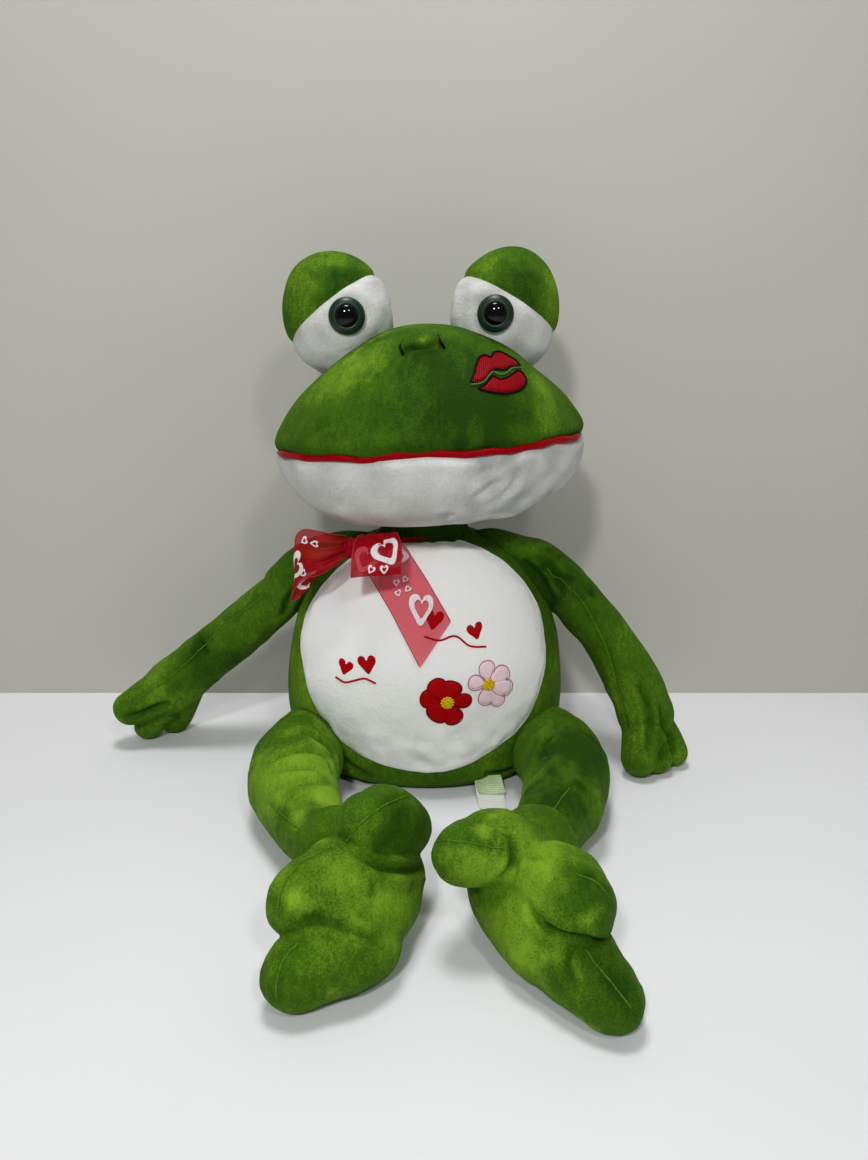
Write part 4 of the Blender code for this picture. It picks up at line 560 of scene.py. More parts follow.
def rings_to_skin(rings, low_pole, high_pole):
    """A closed skin over rings of points, with a pole at each end."""
    rings = np.asarray(rings, float)
    rows, sides = rings.shape[:2]
    points = np.concatenate([rings.reshape(-1, 3), [low_pole], [high_pole]])
    k = np.arange(sides)
    after = (k + 1) % sides
    faces = []
    for row in range(rows - 1):
        low, high = row * sides, (row + 1) * sides
        faces.append(np.stack([low + k, low + after, high + after], 1))
        faces.append(np.stack([low + k, high + after, high + k], 1))
    last = (rows - 1) * sides
    faces.append(np.stack([np.full(sides, rows * sides), after, k], 1))
    faces.append(np.stack([np.full(sides, rows * sides + 1), last + k, last + after], 1))
    return Skin(points, np.concatenate(faces))


def oval_skin(table, count, turns, lean=0.0):
    """A skin over level ovals, from rows of (height, half width, front, back) that end in points."""
    rows = smooth_rows(table, count, round_ends=True)
    cos, sin = np.cos(turns), np.sin(turns)
    rings = []
    for height, wide, front, back in rows[1:-1]:
        depth = np.where(sin > 0, back, front)
        rings.append(np.stack([wide * cos, depth * sin + lean * height, np.full(len(turns), height)], 1))
    low, high = rows[0][0], rows[-1][0]
    return rings_to_skin(rings, (0, lean * low, low), (0, lean * high, high))


def tube_skin(points, radii, sides=28, rings=30, point=1.0):
    """A round sausage with domed ends on a smooth line through points. Its last end reaches point radii."""
    rows = smooth_rows([(*p, r) for p, r in zip(points, radii)], rings)
    centres, radii = rows[:, :3], rows[:, 3]
    along = np.gradient(centres, axis=0)
    along /= np.linalg.norm(along, axis=1, keepdims=True)
    first, last = along[0], along[-1]
    domes = np.radians((72, 54, 36, 18))
    stations = [(centres[0] - first * radii[0] * math.sin(a), first, radii[0] * math.cos(a)) for a in domes]
    stations += list(zip(centres, along, radii))
    stations += [(centres[-1] + last * radii[-1] * point * math.sin(a), last, radii[-1] * math.cos(a))
                 for a in domes[::-1]]
    turns = np.arange(sides) * math.tau / sides
    across = np.cross(first, (0, 0, 1.0))
    made = []
    for centre, ahead, radius in stations:
        across = across - ahead * across.dot(ahead)
        across /= np.linalg.norm(across)
        up = np.cross(across, ahead)
        made.append(centre + radius * (np.outer(np.cos(turns), across) + np.outer(np.sin(turns), up)))
    return rings_to_skin(made, centres[0] - first * radii[0], centres[-1] + last * radii[-1] * point)


def distance_along(points, line):
    """How far each point is from a line, and the share of the line at its nearest place."""
    line = np.asarray([tuple(p) for p in line], float)
    best, along = np.full(len(points), np.inf), np.zeros(len(points))
    for k, (start, end) in enumerate(zip(line, line[1:])):
        step = end - start
        t = np.clip((points - start) @ step / max(step @ step, 1e-12), 0, 1)
        far = np.linalg.norm(points - start - t[:, None] * step, axis=1)
        nearer = far < best
        best[nearer], along[nearer] = far[nearer], (k + t[nearer]) / (len(line) - 1)
    return best, along


def waves(points, size, seed, count=40):
    """A smooth, uneven pattern between about -1 and 1, whose lumps are about as wide as size."""
    dice = np.random.default_rng(seed)
    ways = dice.normal(size=(count, 3))
    ways *= (math.pi / size) / np.linalg.norm(ways, axis=1, keepdims=True)
    ways *= dice.uniform(0.6, 1.4, (count, 1))
    total = np.zeros(len(points))
    for way, shift in zip(ways, dice.uniform(0, math.tau, count)):
        total += np.sin(points @ way + shift)
    return total / math.sqrt(count)


def cut_along(skin, level):
    """Moves the nearest points onto the line where level is zero. Returns each triangle's side of it."""
    faces, before = skin.faces, level.copy()
    edges = np.unique(np.sort(np.concatenate([faces[:, [0, 1]], faces[:, [1, 2]], faces[:, [2, 0]]]), axis=1),
                      axis=0)
    a, b = edges.T
    crossed = level[a] * level[b] < 0
    a, b = a[crossed], b[crossed]
    share = level[a] / (level[a] - level[b])
    near, far = np.where(share < 0.5, a, b), np.where(share < 0.5, b, a)
    share = np.minimum(share, 1 - share)
    order = np.argsort(-share)
    near, far, share = near[order], far[order], share[order]
    old = skin.points.copy()
    skin.points[near] = old[near] + (old[far] - old[near]) * share[:, None]
    level[near] = 0
    sides = level[faces].sum(axis=1)
    return np.where(sides == 0, before[faces].sum(axis=1), sides) > 0


def joined(skins):
    """Several skins as one."""
    starts = np.cumsum([0, *(len(skin.points) for skin in skins)])
    return Skin(np.concatenate([skin.points for skin in skins]),
                np.concatenate([skin.faces + start for skin, start in zip(skins, starts)]))


def object_of(name, points, faces, smooth=True):
    """A new object of points and faces, put into the scene."""
    mesh = bpy.data.meshes.new(name)
    mesh.from_pydata(np.asarray(points).tolist(), [], np.asarray(faces).tolist())
    mesh.polygons.foreach_set("use_smooth", [smooth] * len(mesh.polygons))
    item = bpy.data.objects.new(name, mesh)
    bpy.context.scene.collection.objects.link(item)
    return item


def felted(skins, spacing, rounds):
    """One even skin round several skins that run into each other, with softened joins."""
    whole = joined(skins)
    item = object_of("skins", whole.points, whole.faces)
    remesh = item.modifiers.new("even", "REMESH")
    remesh.mode, remesh.voxel_size = "VOXEL", spacing
    smooth = item.modifiers.new("soften", "SMOOTH")
    smooth.factor, smooth.iterations = 0.5, rounds
    made = item.evaluated_get(bpy.context.evaluated_depsgraph_get()).to_mesh()
    made.calc_loop_triangles()
    places = np.empty(len(made.vertices) * 3)
    made.vertices.foreach_get("co", places)
    triangles = np.empty(len(made.loop_triangles) * 3, np.int32)
    made.loop_triangles.foreach_get("vertices", triangles)
    item.to_mesh_clear()
    bpy.data.meshes.remove(item.data)
    return Skin(places.reshape(-1, 3), triangles.reshape(-1, 3))


# Marks of the photograph on a skin

def sight_line(across, down):
    """The direction in which the photograph's eye looks at one of its pixels."""
    pitch = math.radians(EYE_PITCH_DEG)
    u, v = (across - PHOTO_WIDE / 2) / FOCAL_PIXELS, (down - PHOTO_HIGH / 2) / FOCAL_PIXELS
    ahead, up = Vector((0, math.cos(pitch), -math.sin(pitch))), Vector((0, math.sin(pitch), math.cos(pitch)))
    return (ahead + Vector((u, 0, 0)) - up * v).normalized()


def on_skin(tree, marks):
    """Where marks in the photograph lie on a skin, as a smooth line. A mark that misses it is left out."""
    found = [tree.ray_cast(EYE_PLACE, sight_line(*mark))[0] for mark in marks]
    found = [tuple(place) for place in found if place is not None]
    return smooth_rows(found, 4 * len(found)) if len(found) > 1 else found


def nap_light_and_shade_of(skin, name, seed):
    """How light the nap lies on each point of a skin, with the painted light and shade of its marks and the
    painted shade of its creases, folds and seams.
    """
    tree = skin.tree()
    nap = sum(share * waves(skin.points, size, seed + k) for k, (share, size) in enumerate(NAP_PATCHES))
    uneven = 1 + sum(share * waves(skin.points, size, seed + k) for k, (share, size) in enumerate(NAP_EDGES, 2))
    for across, down, radius, lighter in NAP_LIGHT_AND_SHADE_MARKS.get(name, ()):
        place = tree.ray_cast(EYE_PLACE, sight_line(across, down))[0]
        if place is not None:
            reach = radius * (place - EYE_PLACE).length / FOCAL_PIXELS * NAP_REACH_SHARE
            far = np.linalg.norm(skin.points - np.array(place), axis=1) * uneven
            nap += lighter * np.exp(-(far / reach) ** 2)
    return np.clip(NAP_MIDDLE + NAP_SHARE * nap - skin.shade, 0, 1)


def sewn(name, skin, cloth, nap=None, threads=()):
    """Makes a piece of a skin, with the parted pile that shows along its seams."""
    whole = joined([skin, *threads])
    item = object_of(name, whole.points, whole.faces)
    mesh = item.data
    mesh.polygons.foreach_set("material_index", (np.arange(len(whole.faces)) >= len(skin.faces)).astype(int))
    # The nap attribute holds how light the nap lies together with the painted light and shade
    if nap is not None:
        values = np.full(len(whole.points), THREAD_NAP)
        values[:len(nap)] = nap
        mesh.attributes.new("nap", "FLOAT", "POINT").data.foreach_set("value", values)
    for each in (cloth, seam_green) if threads else (cloth,):
        mesh.materials.append(each())
    return item


def settled(piece, slot, *nodes, body=None, fill=None):
    """Attaches a piece to the body it rides on and hides the CAD nodes it stands for. Its slot and how full it
    is stuffed are not used.
    """
    if body:
        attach(piece, body)
    if nodes:
        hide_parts(*nodes)


def panels(skin, rows, body, fill):
    """Cuts a skin into panels, from rows of (name, which triangles, cloth, nap, more nodes it stands for)."""
    for name, keep, cloth, nap, nodes in rows:
        panel, used = skin.part(keep)
        piece = sewn(f"plush_{name}", panel, cloth, nap[used])
        settled(piece, "white_plush" if cloth is white_plush else "green_plush", name, *nodes,
                body=body, fill=fill)


def thread_line(line, radius, sides=6):
    """A thread that lies along a line."""
    line = np.asarray([tuple(p) for p in line], float)
    return tube_skin(line, [radius] * len(line), sides, max(len(line) * 2, 6))


def cast_onto(tree, look, x, z):
    """Where a line along a flat frame's +Y from its (x, z) meets a skin, and the skin's way out there."""
    ahead = (look.to_3x3() @ Vector((0, 1, 0))).normalized()
    place, normal, *_ = tree.ray_cast(look @ Vector((x, -CAST_FROM, z)), ahead)
    if place is None:
        return None, None
    return place, -normal if normal.dot(ahead) > 0 else normal


def patch_on(tree, outline, look, height, step, edge):
    """A stitched patch on a skin: an outline of (x, z) in a flat frame, laid on by looking along its +Y.

    look is the frame's place. The patch rises from its edge to height over the width edge."""
    border = [Vector(p) for p in outline]
    left, right = min(p[0] for p in outline), max(p[0] for p in outline)
    low, high = min(p[1] for p in outline), max(p[1] for p in outline)
    row_step = step * ROW_SHARE
    spots = []
    for row in range(int((high - low) / row_step) + 1):
        for col in range(int((right - left) / step) + 2):
            spot = Vector((left + (col + 0.5 * (row % 2)) * step, low + row * step * ROW_SHARE))
            if inside(spot, border) and from_border(spot, border) > step * BORDER_SHARE:
                spots.append(spot)
    edges = [(k, (k + 1) % len(border)) for k in range(len(border))]
    flat, _, faces, *_ = geometry.delaunay_2d_cdt(border + spots, edges, [], 1, 1e-6)
    ahead = (look.to_3x3() @ Vector((0, 1, 0))).normalized()
    places = []
    for x, z in flat:
        place, normal = cast_onto(tree, look, x, z)
        if place is None:
            place, normal, *_ = tree.find_nearest(look @ Vector((x, -NEAR_FROM, z)))
            normal = -normal if normal.dot(ahead) > 0 else normal
        rise = min(from_border(Vector((x, z)), border) / edge, 1.0)
        places.append(place + normal * (height * math.sin(rise * math.pi / 2) - PATCH_SINK))
    triangles = [(face[0], face[k], face[k + 1]) for face in faces for k in range(1, len(face) - 1)]
    skin = Skin([tuple(p) for p in places], triangles)
    if (skin.normals() @ np.array(ahead)).mean() > 0:
        skin.faces = skin.faces[:, ::-1]
    return skin


def inside(spot, border):
    """Whether a spot lies within a closed outline."""
    odd = False
    for a, b in zip(border, border[1:] + border[:1]):
        if (a.y > spot.y) != (b.y > spot.y) and spot.x < (b.x - a.x) * (spot.y - a.y) / (b.y - a.y) + a.x:
            odd = not odd
    return odd


def from_border(spot, border):
    """How far a spot is from a closed outline."""
    far = math.inf
    for a, b in zip(border, border[1:] + border[:1]):
        near, share = geometry.intersect_point_line(spot, a, b)
        near = a if share < 0 else b if share > 1 else near
        far = min(far, (Vector(near[:2]) - spot).length)
    return far


def laid_line(tree, line, look, lift=0.0):
    """A line of (x, z) in a flat frame, laid on a skin by looking along the frame's +Y."""
    found = [cast_onto(tree, look, x, z) for x, z in line]
    return [tuple(place + normal * lift) for place, normal in found if place is not None]


def moved(skin, place):
    """A skin as it lies once it has been turned and shifted."""
    made = Skin(skin.points @ np.array(place.to_3x3()).T + np.array(place.translation), skin.faces)
    made.shade = skin.shade
    return made


def seen_from(skin, matrix):
    """The points of a skin as a frame sees them."""
    back = matrix.inverted()
    return skin.points @ np.array(back.to_3x3()).T + np.array(back.translation)


# Materials

def add(tree, kind, values=None, links=None, stops=(), **settings):
    """Adds a node with its settings, the values of its sockets and the links into them.

    stops are the (place, colour) pairs of a colour ramp."""
    made = tree.nodes.new(kind)
    for name, value in settings.items():
        setattr(made, name, value)
    for k, (at, shade) in enumerate(stops):
        stop = made.color_ramp.elements[k] if k < 2 else made.color_ramp.elements.new(at)
        stop.position, stop.color = at, shade
    for name, value in (values or {}).items():
        made.inputs[name].default_value = value
    for name, source in (links or {}).items():
        tree.links.new(source, made.inputs[name])
    return made


def per_mm(size_mm):
    """The scale at which a texture in metres repeats about once in a size."""
    return 1000.0 / size_mm


def shade_of(code):
    """A colour from its hex code, or from the name of one of the scene's colours."""
    return linear(code) if code.startswith("#") else tuple(getattr(bpy.context.scene.plush_colours, code))


def darker(shade, share):
    """A colour with its red, green and blue at a share."""
    return (*(c * share for c in shade[:3]), 1.0)


def material(name):
    """Lets a function that returns a shader give the material of that name, which it makes once.

    The function is given the tree to fill and the outputs of its texture coordinates."""
    def named(shaded):
        def finish():
            if name not in bpy.data.materials:
                made = bpy.data.materials.new(name)
                made.use_nodes = True
                tree = made.node_tree
                tree.nodes.clear()
                shader = shaded(tree, add(tree, "ShaderNodeTexCoord").outputs)
                add(tree, "ShaderNodeOutputMaterial", links={"Surface": shader.outputs[0]})
            return bpy.data.materials[name]
        return finish
    return named


@material("green_plush_sheared_pile")
def green_plush(tree, where):
    """Short glossy polyester pile, knitted and sheared: the nap gives soft dark and light patches, and with
    it the painted light and shade of the marks and creases; the sheared tips give a fine grain, and the
    edges a sheen. The pile is 0.3 mm and drawn as 1.3 mm tufts, and where it is brushed, as 3.4 mm streaks."""
    place = where["Object"]
    lay = add(tree, "ShaderNodeAttribute", attribute_name="nap", attribute_type="GEOMETRY").outputs["Fac"]
    patches = add(tree, "ShaderNodeTexNoise", {"Scale": per_mm(13), "Detail": 4.0, "Roughness": 0.6,
                                               "Distortion": 0.6}, {"Vector": place}).outputs["Fac"]
    brushed = add(tree, "ShaderNodeMapping", {"Scale": (1.0, 0.55, 0.45)}, {"Vector": place}).outputs[0]
    streaks = add(tree, "ShaderNodeTexNoise", {"Scale": per_mm(3.4), "Detail": 2.0, "Roughness": 0.6},
                  {"Vector": brushed}).outputs["Fac"]
    tufts = add(tree, "ShaderNodeTexNoise", {"Scale": per_mm(1.3), "Detail": 2.0, "Roughness": 0.7},
                {"Vector": place}).outputs["Fac"]
    for pattern, share in ((patches, 0.20), (streaks, 0.34), (tufts, 0.60)):
        lay = add(tree, "ShaderNodeMath", {1: share}, {0: pattern, 2: lay}, operation="MULTIPLY_ADD").outputs[0]
    lay = add(tree, "ShaderNodeMath", {1: 0.59}, {0: lay}, operation="SUBTRACT").outputs[0]
    tint = add(tree, "ShaderNodeValToRGB", None, {"Fac": lay},
               stops=((0.12, shade_of("green_dark")), (0.46, shade_of("green_mid")),
                      (0.92, shade_of("green_light")))).outputs[0]
    rough = add(tree, "ShaderNodeMapRange", {"To Min": 0.62, "To Max": 0.82}, {"Value": tufts}).outputs[0]
    low = add(tree, "ShaderNodeBump", {"Strength": 0.45, "Distance": 0.0012}, {"Height": streaks}).outputs[0]
    high = add(tree, "ShaderNodeBump", {"Strength": 0.9, "Distance": 0.0011}, {"Height": tufts, "Normal": low})
    return add(tree, "ShaderNodeBsdfPrincipled",
               {"Sheen Weight": 0.12, "Sheen Roughness": 0.35, "Sheen Tint": linear("#8fc23a"),
                "Specular IOR Level": 0.06},
               {"Base Color": tint, "Roughness": rough, "Normal": high.outputs[0]})


@material("white_plush_sheared_pile")
def white_plush(tree, where):
    """The same short pile in white: its darker end is painted shade on the jaw, the eye whites and the
    sagging lower belly, and crumples of the pile catch the light. The pile is 0.3 mm and drawn as 1.7 mm tufts."""
    place = where["Object"]
    lay = add(tree, "ShaderNodeAttribute", attribute_name="nap", attribute_type="GEOMETRY").outputs["Fac"]
    crumples = add(tree, "ShaderNodeTexNoise", {"Scale": per_mm(9), "Detail": 3.0, "Roughness": 0.6,
                                                "Distortion": 1.2}, {"Vector": place}).outputs["Fac"]
    tufts = add(tree, "ShaderNodeTexNoise", {"Scale": per_mm(1.7), "Detail": 2.0, "Roughness": 0.7},
                {"Vector": place}).outputs["Fac"]
    for pattern, share in ((crumples, 0.16), (tufts, 0.30)):
        lay = add(tree, "ShaderNodeMath", {1: share}, {0: pattern, 2: lay}, operation="MULTIPLY_ADD").outputs[0]
    tint = add(tree, "ShaderNodeValToRGB", None, {"Fac": lay},
               stops=((0.30, shade_of("white_dark")), (1.0, shade_of("white_light")))).outputs[0]
    low = add(tree, "ShaderNodeBump", {"Strength": 0.35, "Distance": 0.0016}, {"Height": crumples}).outputs[0]
    high = add(tree, "ShaderNodeBump", {"Strength": 0.5, "Distance": 0.0006}, {"Height": tufts, "Normal": low})
    return add(tree, "ShaderNodeBsdfPrincipled",
               {"Roughness": 0.85, "Sheen Weight": 0.1, "Sheen Roughness": 0.5, "Specular IOR Level": 0.1},
               {"Base Color": tint, "Normal": high.outputs[0]})


def satin(name, code, line_mm, way, dark, rough=0.38):
    """Threads that lie side by side: fine lines across the stitch, and a shine along them.

    dark is the colour's share between two threads, and line_mm how wide each is drawn."""
    @material(name)
    def stitched(tree, where):
        lines = add(tree, "ShaderNodeTexWave", {"Scale": per_mm(line_mm) / math.tau, "Distortion": 2.5,
                                                "Detail": 2.0, "Detail Scale": 1.5},
                    {"Vector": where["Object"]}, bands_direction=way).outputs["Fac"]
        tone = add(tree, "ShaderNodeTexNoise", {"Scale": per_mm(6), "Detail": 2.0}, {"Vector": where["Object"]})
        lay = add(tree, "ShaderNodeMath", {}, {0: lines, 1: tone.outputs["Fac"]}, operation="MULTIPLY")
        shade = shade_of(code)
        tint = add(tree, "ShaderNodeValToRGB", None, {"Fac": lay.outputs[0]},
                   stops=((0.05, darker(shade, dark)), (0.55, shade))).outputs[0]
        bump = add(tree, "ShaderNodeBump", {"Strength": 0.55, "Distance": 0.0004}, {"Height": lines})
        return add(tree, "ShaderNodeBsdfPrincipled", {"Roughness": rough, "Specular IOR Level": 0.05},
                   {"Base Color": tint, "Normal": bump.outputs[0]})
    return stitched


# Woven red satin: long floats of thread, drawn 0.9 mm wide, give a soft shine along the strip
mouth_satin = satin("red_satin_woven", "satin_red", 0.9, "X", 0.6, 0.32)
# Rayon embroidery: shiny 0.4 mm threads side by side, drawn 0.8 mm wide here and in the ones below
red_thread = satin("red_rayon_satin_stitch", "thread_red", 0.8, "X", 0.8)
# A darker red than the flower's, in longer stitches
lip_thread = satin("lip_red_rayon_satin_stitch", "#94000c", 0.8, "X", 0.6)
# The flower's red where one petal's edge turns down behind the next, drawn darker as painted shade
shaded_red_edge_thread = satin("deep_red_rayon_edge_stitch", "#8a0309", 0.8, "Z", 0.7)
# Pale pink rayon of the second flower
pink_thread = satin("pink_rayon_satin_stitch", "thread_pink", 0.8, "X", 0.96)
# The darker pink line that edges each pale petal
deep_pink_thread = satin("deep_pink_rayon_edge_stitch", "#c9809b", 0.8, "Z", 0.75)
# Knots of a flower's centre, whose turns of thread show as 1.3 mm lumps
yellow_thread = satin("yellow_rayon_knots", "thread_yellow", 1.3, "DIAGONAL", 0.85)
# Black rayon shows only its shine
black_thread = satin("black_rayon_stitch", "thread_black", 0.8, "X", 0.5, 0.45)
# The line between the lips
pale_green_thread = satin("pale_green_rayon_stitch", "#5b7a31", 0.8, "X", 0.7)
# The ribbon's woven edge, four threads closer together, so it shows as a thin paler line
selvage = satin("red_organza_selvage", "#b83a48", 0.6, "X", 0.7, 0.4)


@material("red_organza_sheer_weave")
def organza(tree, where):
    """Sheer plain-woven polyester: each layer lets the cloth behind show tinted, and where it is bunched
    it looks deep red. The threads are 0.15 mm apart and drawn at 0.7 mm."""
    ways = [add(tree, "ShaderNodeTexWave", {"Scale": per_mm(0.7) / math.tau}, {"Vector": where["UV"]},
                bands_direction=way).outputs["Fac"] for way in ("X", "Y")]
    weave = add(tree, "ShaderNodeMath", {}, dict(enumerate(ways)), operation="MAXIMUM").outputs[0]
    cloud = add(tree, "ShaderNodeTexNoise", {"Scale": per_mm(14), "Detail": 2.0}, {"Vector": where["UV"]})
    bunched = add(tree, "ShaderNodeAttribute", attribute_name="bunched",
                  attribute_type="GEOMETRY").outputs["Fac"]
    depth = add(tree, "ShaderNodeMath", {}, {0: cloud.outputs["Fac"], 1: bunched}, operation="SUBTRACT")
    shade = shade_of("organza_red")
    tint = add(tree, "ShaderNodeValToRGB", None, {"Fac": depth.outputs[0]},
               stops=((0.0, darker(shade, 0.62)), (0.5, shade))).outputs[0]
    single = add(tree, "ShaderNodeMapRange", {"To Min": 0.19, "To Max": 0.27}, {"Value": weave}).outputs[0]
    cover = add(tree, "ShaderNodeMath", {}, {0: single, 1: bunched}, operation="ADD").outputs[0]
    bump = add(tree, "ShaderNodeBump", {"Strength": 0.25, "Distance": 0.0002}, {"Height": weave})
    cloth = add(tree, "ShaderNodeBsdfPrincipled", {"Roughness": 0.42, "Specular IOR Level": 0.1},
                {"Base Color": tint, "Normal": bump.outputs[0]})
    sheer = add(tree, "ShaderNodeBsdfTransparent", {"Color": linear("#ffbcc5")})
    return add(tree, "ShaderNodeMixShader", links={0: cover, 1: sheer.outputs[0], 2: cloth.outputs[0]})


def tape(name, low, high, cloud_mm=None):
    """Woven polyester label tape: fine ribs across, drawn 0.9 mm apart, a little darker in between.

    low and high are (place, hex colour) pairs. A cloud makes a woven colour slightly uneven."""
    @material(name)
    def woven(tree, where):
        ribs = add(tree, "ShaderNodeTexWave", {"Scale": per_mm(0.9) / math.tau, "Distortion": 0.6},
                   {"Vector": where["Object"]}, bands_direction="Y").outputs["Fac"]
        tone = ribs
        if cloud_mm:
            cloud = add(tree, "ShaderNodeTexNoise", {"Scale": per_mm(cloud_mm), "Detail": 1.0},
                        {"Vector": where["Object"]}).outputs["Fac"]
            tone = add(tree, "ShaderNodeMath", {}, {0: ribs, 1: cloud}, operation="MULTIPLY").outputs[0]
        tint = add(tree, "ShaderNodeValToRGB", None, {"Fac": tone},
                   stops=[(at, linear(code)) for at, code in (low, high)]).outputs[0]
        bump = add(tree, "ShaderNodeBump", {"Strength": 0.4, "Distance": 0.0002}, {"Height": ribs})
        return add(tree, "ShaderNodeBsdfPrincipled", {"Roughness": 0.7},
                   {"Base Color": tint, "Normal": bump.outputs[0]})
    return woven


label_tape = tape("white_label_tape_woven", (0.1, "#cfd2cc"), (0.8, "#eceeea"))
# The shorter label's tape has a band woven in pale green
green_tape = tape("pale_green_label_tape_woven", (0.15, "#a9c282"), (0.55, "#d9e4c4"), 7)


def clouded(name, size_mm, code, low, values, stops=(0.3, 0.7), detail=2.0, bump=None, rough=None,
            one_sided=False):
    """A material whose tone changes slightly from spot to spot, between low and a colour.

    low is a hex colour or a share of the colour. bump is a strength and a distance, and rough a range that
    follows the tone. A one-sided material lets a view from behind it through."""
    @material(name)
    def spotted(tree, where):
        cloud = add(tree, "ShaderNodeTexNoise", {"Scale": per_mm(size_mm), "Detail": detail},
                    {"Vector": where["Object"]}).outputs["Fac"]
        shade = shade_of(code)
        dark = linear(low) if isinstance(low, str) else darker(shade, low)
        links = {"Base Color": add(tree, "ShaderNodeValToRGB", None, {"Fac": cloud},
                                   stops=zip(stops, (dark, shade))).outputs[0]}
        if bump:
            links["Normal"] = add(tree, "ShaderNodeBump", {"Strength": bump[0], "Distance": bump[1]},
                                  {"Height": cloud}).outputs[0]
        if rough:
            links["Roughness"] = add(tree, "ShaderNodeMapRange", {"To Min": rough[0], "To Max": rough[1]},
                                     {"Value": cloud}).outputs[0]
        shader = add(tree, "ShaderNodeBsdfPrincipled", values, links)
        if one_sided:
            back = add(tree, "ShaderNodeNewGeometry").outputs["Backfacing"]
            clear = add(tree, "ShaderNodeBsdfTransparent").outputs[0]
            shader = add(tree, "ShaderNodeMixShader", links={0: back, 1: shader.outputs[0], 2: clear})
        return shader
    return spotted


# The green pile parted at a seam, so a thin paler line shows where the stitches pull it open
seam_green = clouded("green_plush_parted_at_seam", 2.0, "#5a861f", "#34600e",
                     {"Roughness": 0.8, "Specular IOR Level": 0.1}, detail=3.0, bump=(0.7, 0.0006))
# White pigment printed on the organza, slightly uneven where the mesh took it
heart_print = clouded("white_pigment_print", 1.2, "#f2e9ea", "#e3c3c8", {"Roughness": 0.6}, (0.3, 0.55))
# Injection-moulded polystyrene, lacquered dark green, with a clear gloss over it
iris_plastic = clouded("green_lacquered_polystyrene", 4, "iris_green", 0.7,
                       {"Roughness": 0.36, "Specular IOR Level": 0.35}, bump=(0.05, 0.0003))
# Black moulded polystyrene with a polished dome, which mirrors the lamps as small bright spots
pupil_plastic = clouded("black_polished_polystyrene", 3, "#030404", "#010101", {"Specular IOR Level": 0.3},
                        (0.35, 0.75), 3.0, rough=(0.03, 0.08))
# Natural polyethylene of the washers, waxy and slightly clouded
washer_plastic = clouded("natural_polyethylene", 5, "#e2e2da", "#cfcfc6",
                         {"Roughness": 0.45, "Subsurface Weight": 0.2})
# Matt paint on the two boards of the stage, rolled on in slow patches
PAINT, PAINT_PATCH_MM, PAINT_DARK = {"Roughness": 0.85, "Specular IOR Level": 0.2}, 454.5454545, 0.94
table_paint = clouded("pale_table_paint", PAINT_PATCH_MM, "#e6e7e9", PAINT_DARK, PAINT)
wall_paint = clouded("warm_grey_wall_paint", PAINT_PATCH_MM, "#c0bfb6", PAINT_DARK, PAINT, one_sided=True)


# The covers

SKINS = {}


def skin_of(name):
    """A cover's skin, for what is sewn onto it."""
    if name not in SKINS:
        raise RuntimeError(f"the {name} has to be sewn first")
    return SKINS[name]


def bell(far, width):
    """1 where far is 0, and near 0 from two widths on."""
    return np.exp(-(far / width) ** 2)


def front_heavy_turns(front, back):
    """Angles round an oval, closer together on its front half."""
    return np.concatenate([np.linspace(0, math.pi, back, endpoint=False),
                           np.linspace(math.pi, math.tau, front, endpoint=False)])


def station_table(stations, half, low, high, tall=1.0):
    """Rows for oval_skin from stations in shares of the half sizes, between its lowest and highest point."""
    wide, front, back = half
    rows = [(h * tall, w * wide, f * front, b * back) for h, w, f, b in stations]
    return [(low, 0, 0, 0), *rows, (high, 0, 0, 0)]


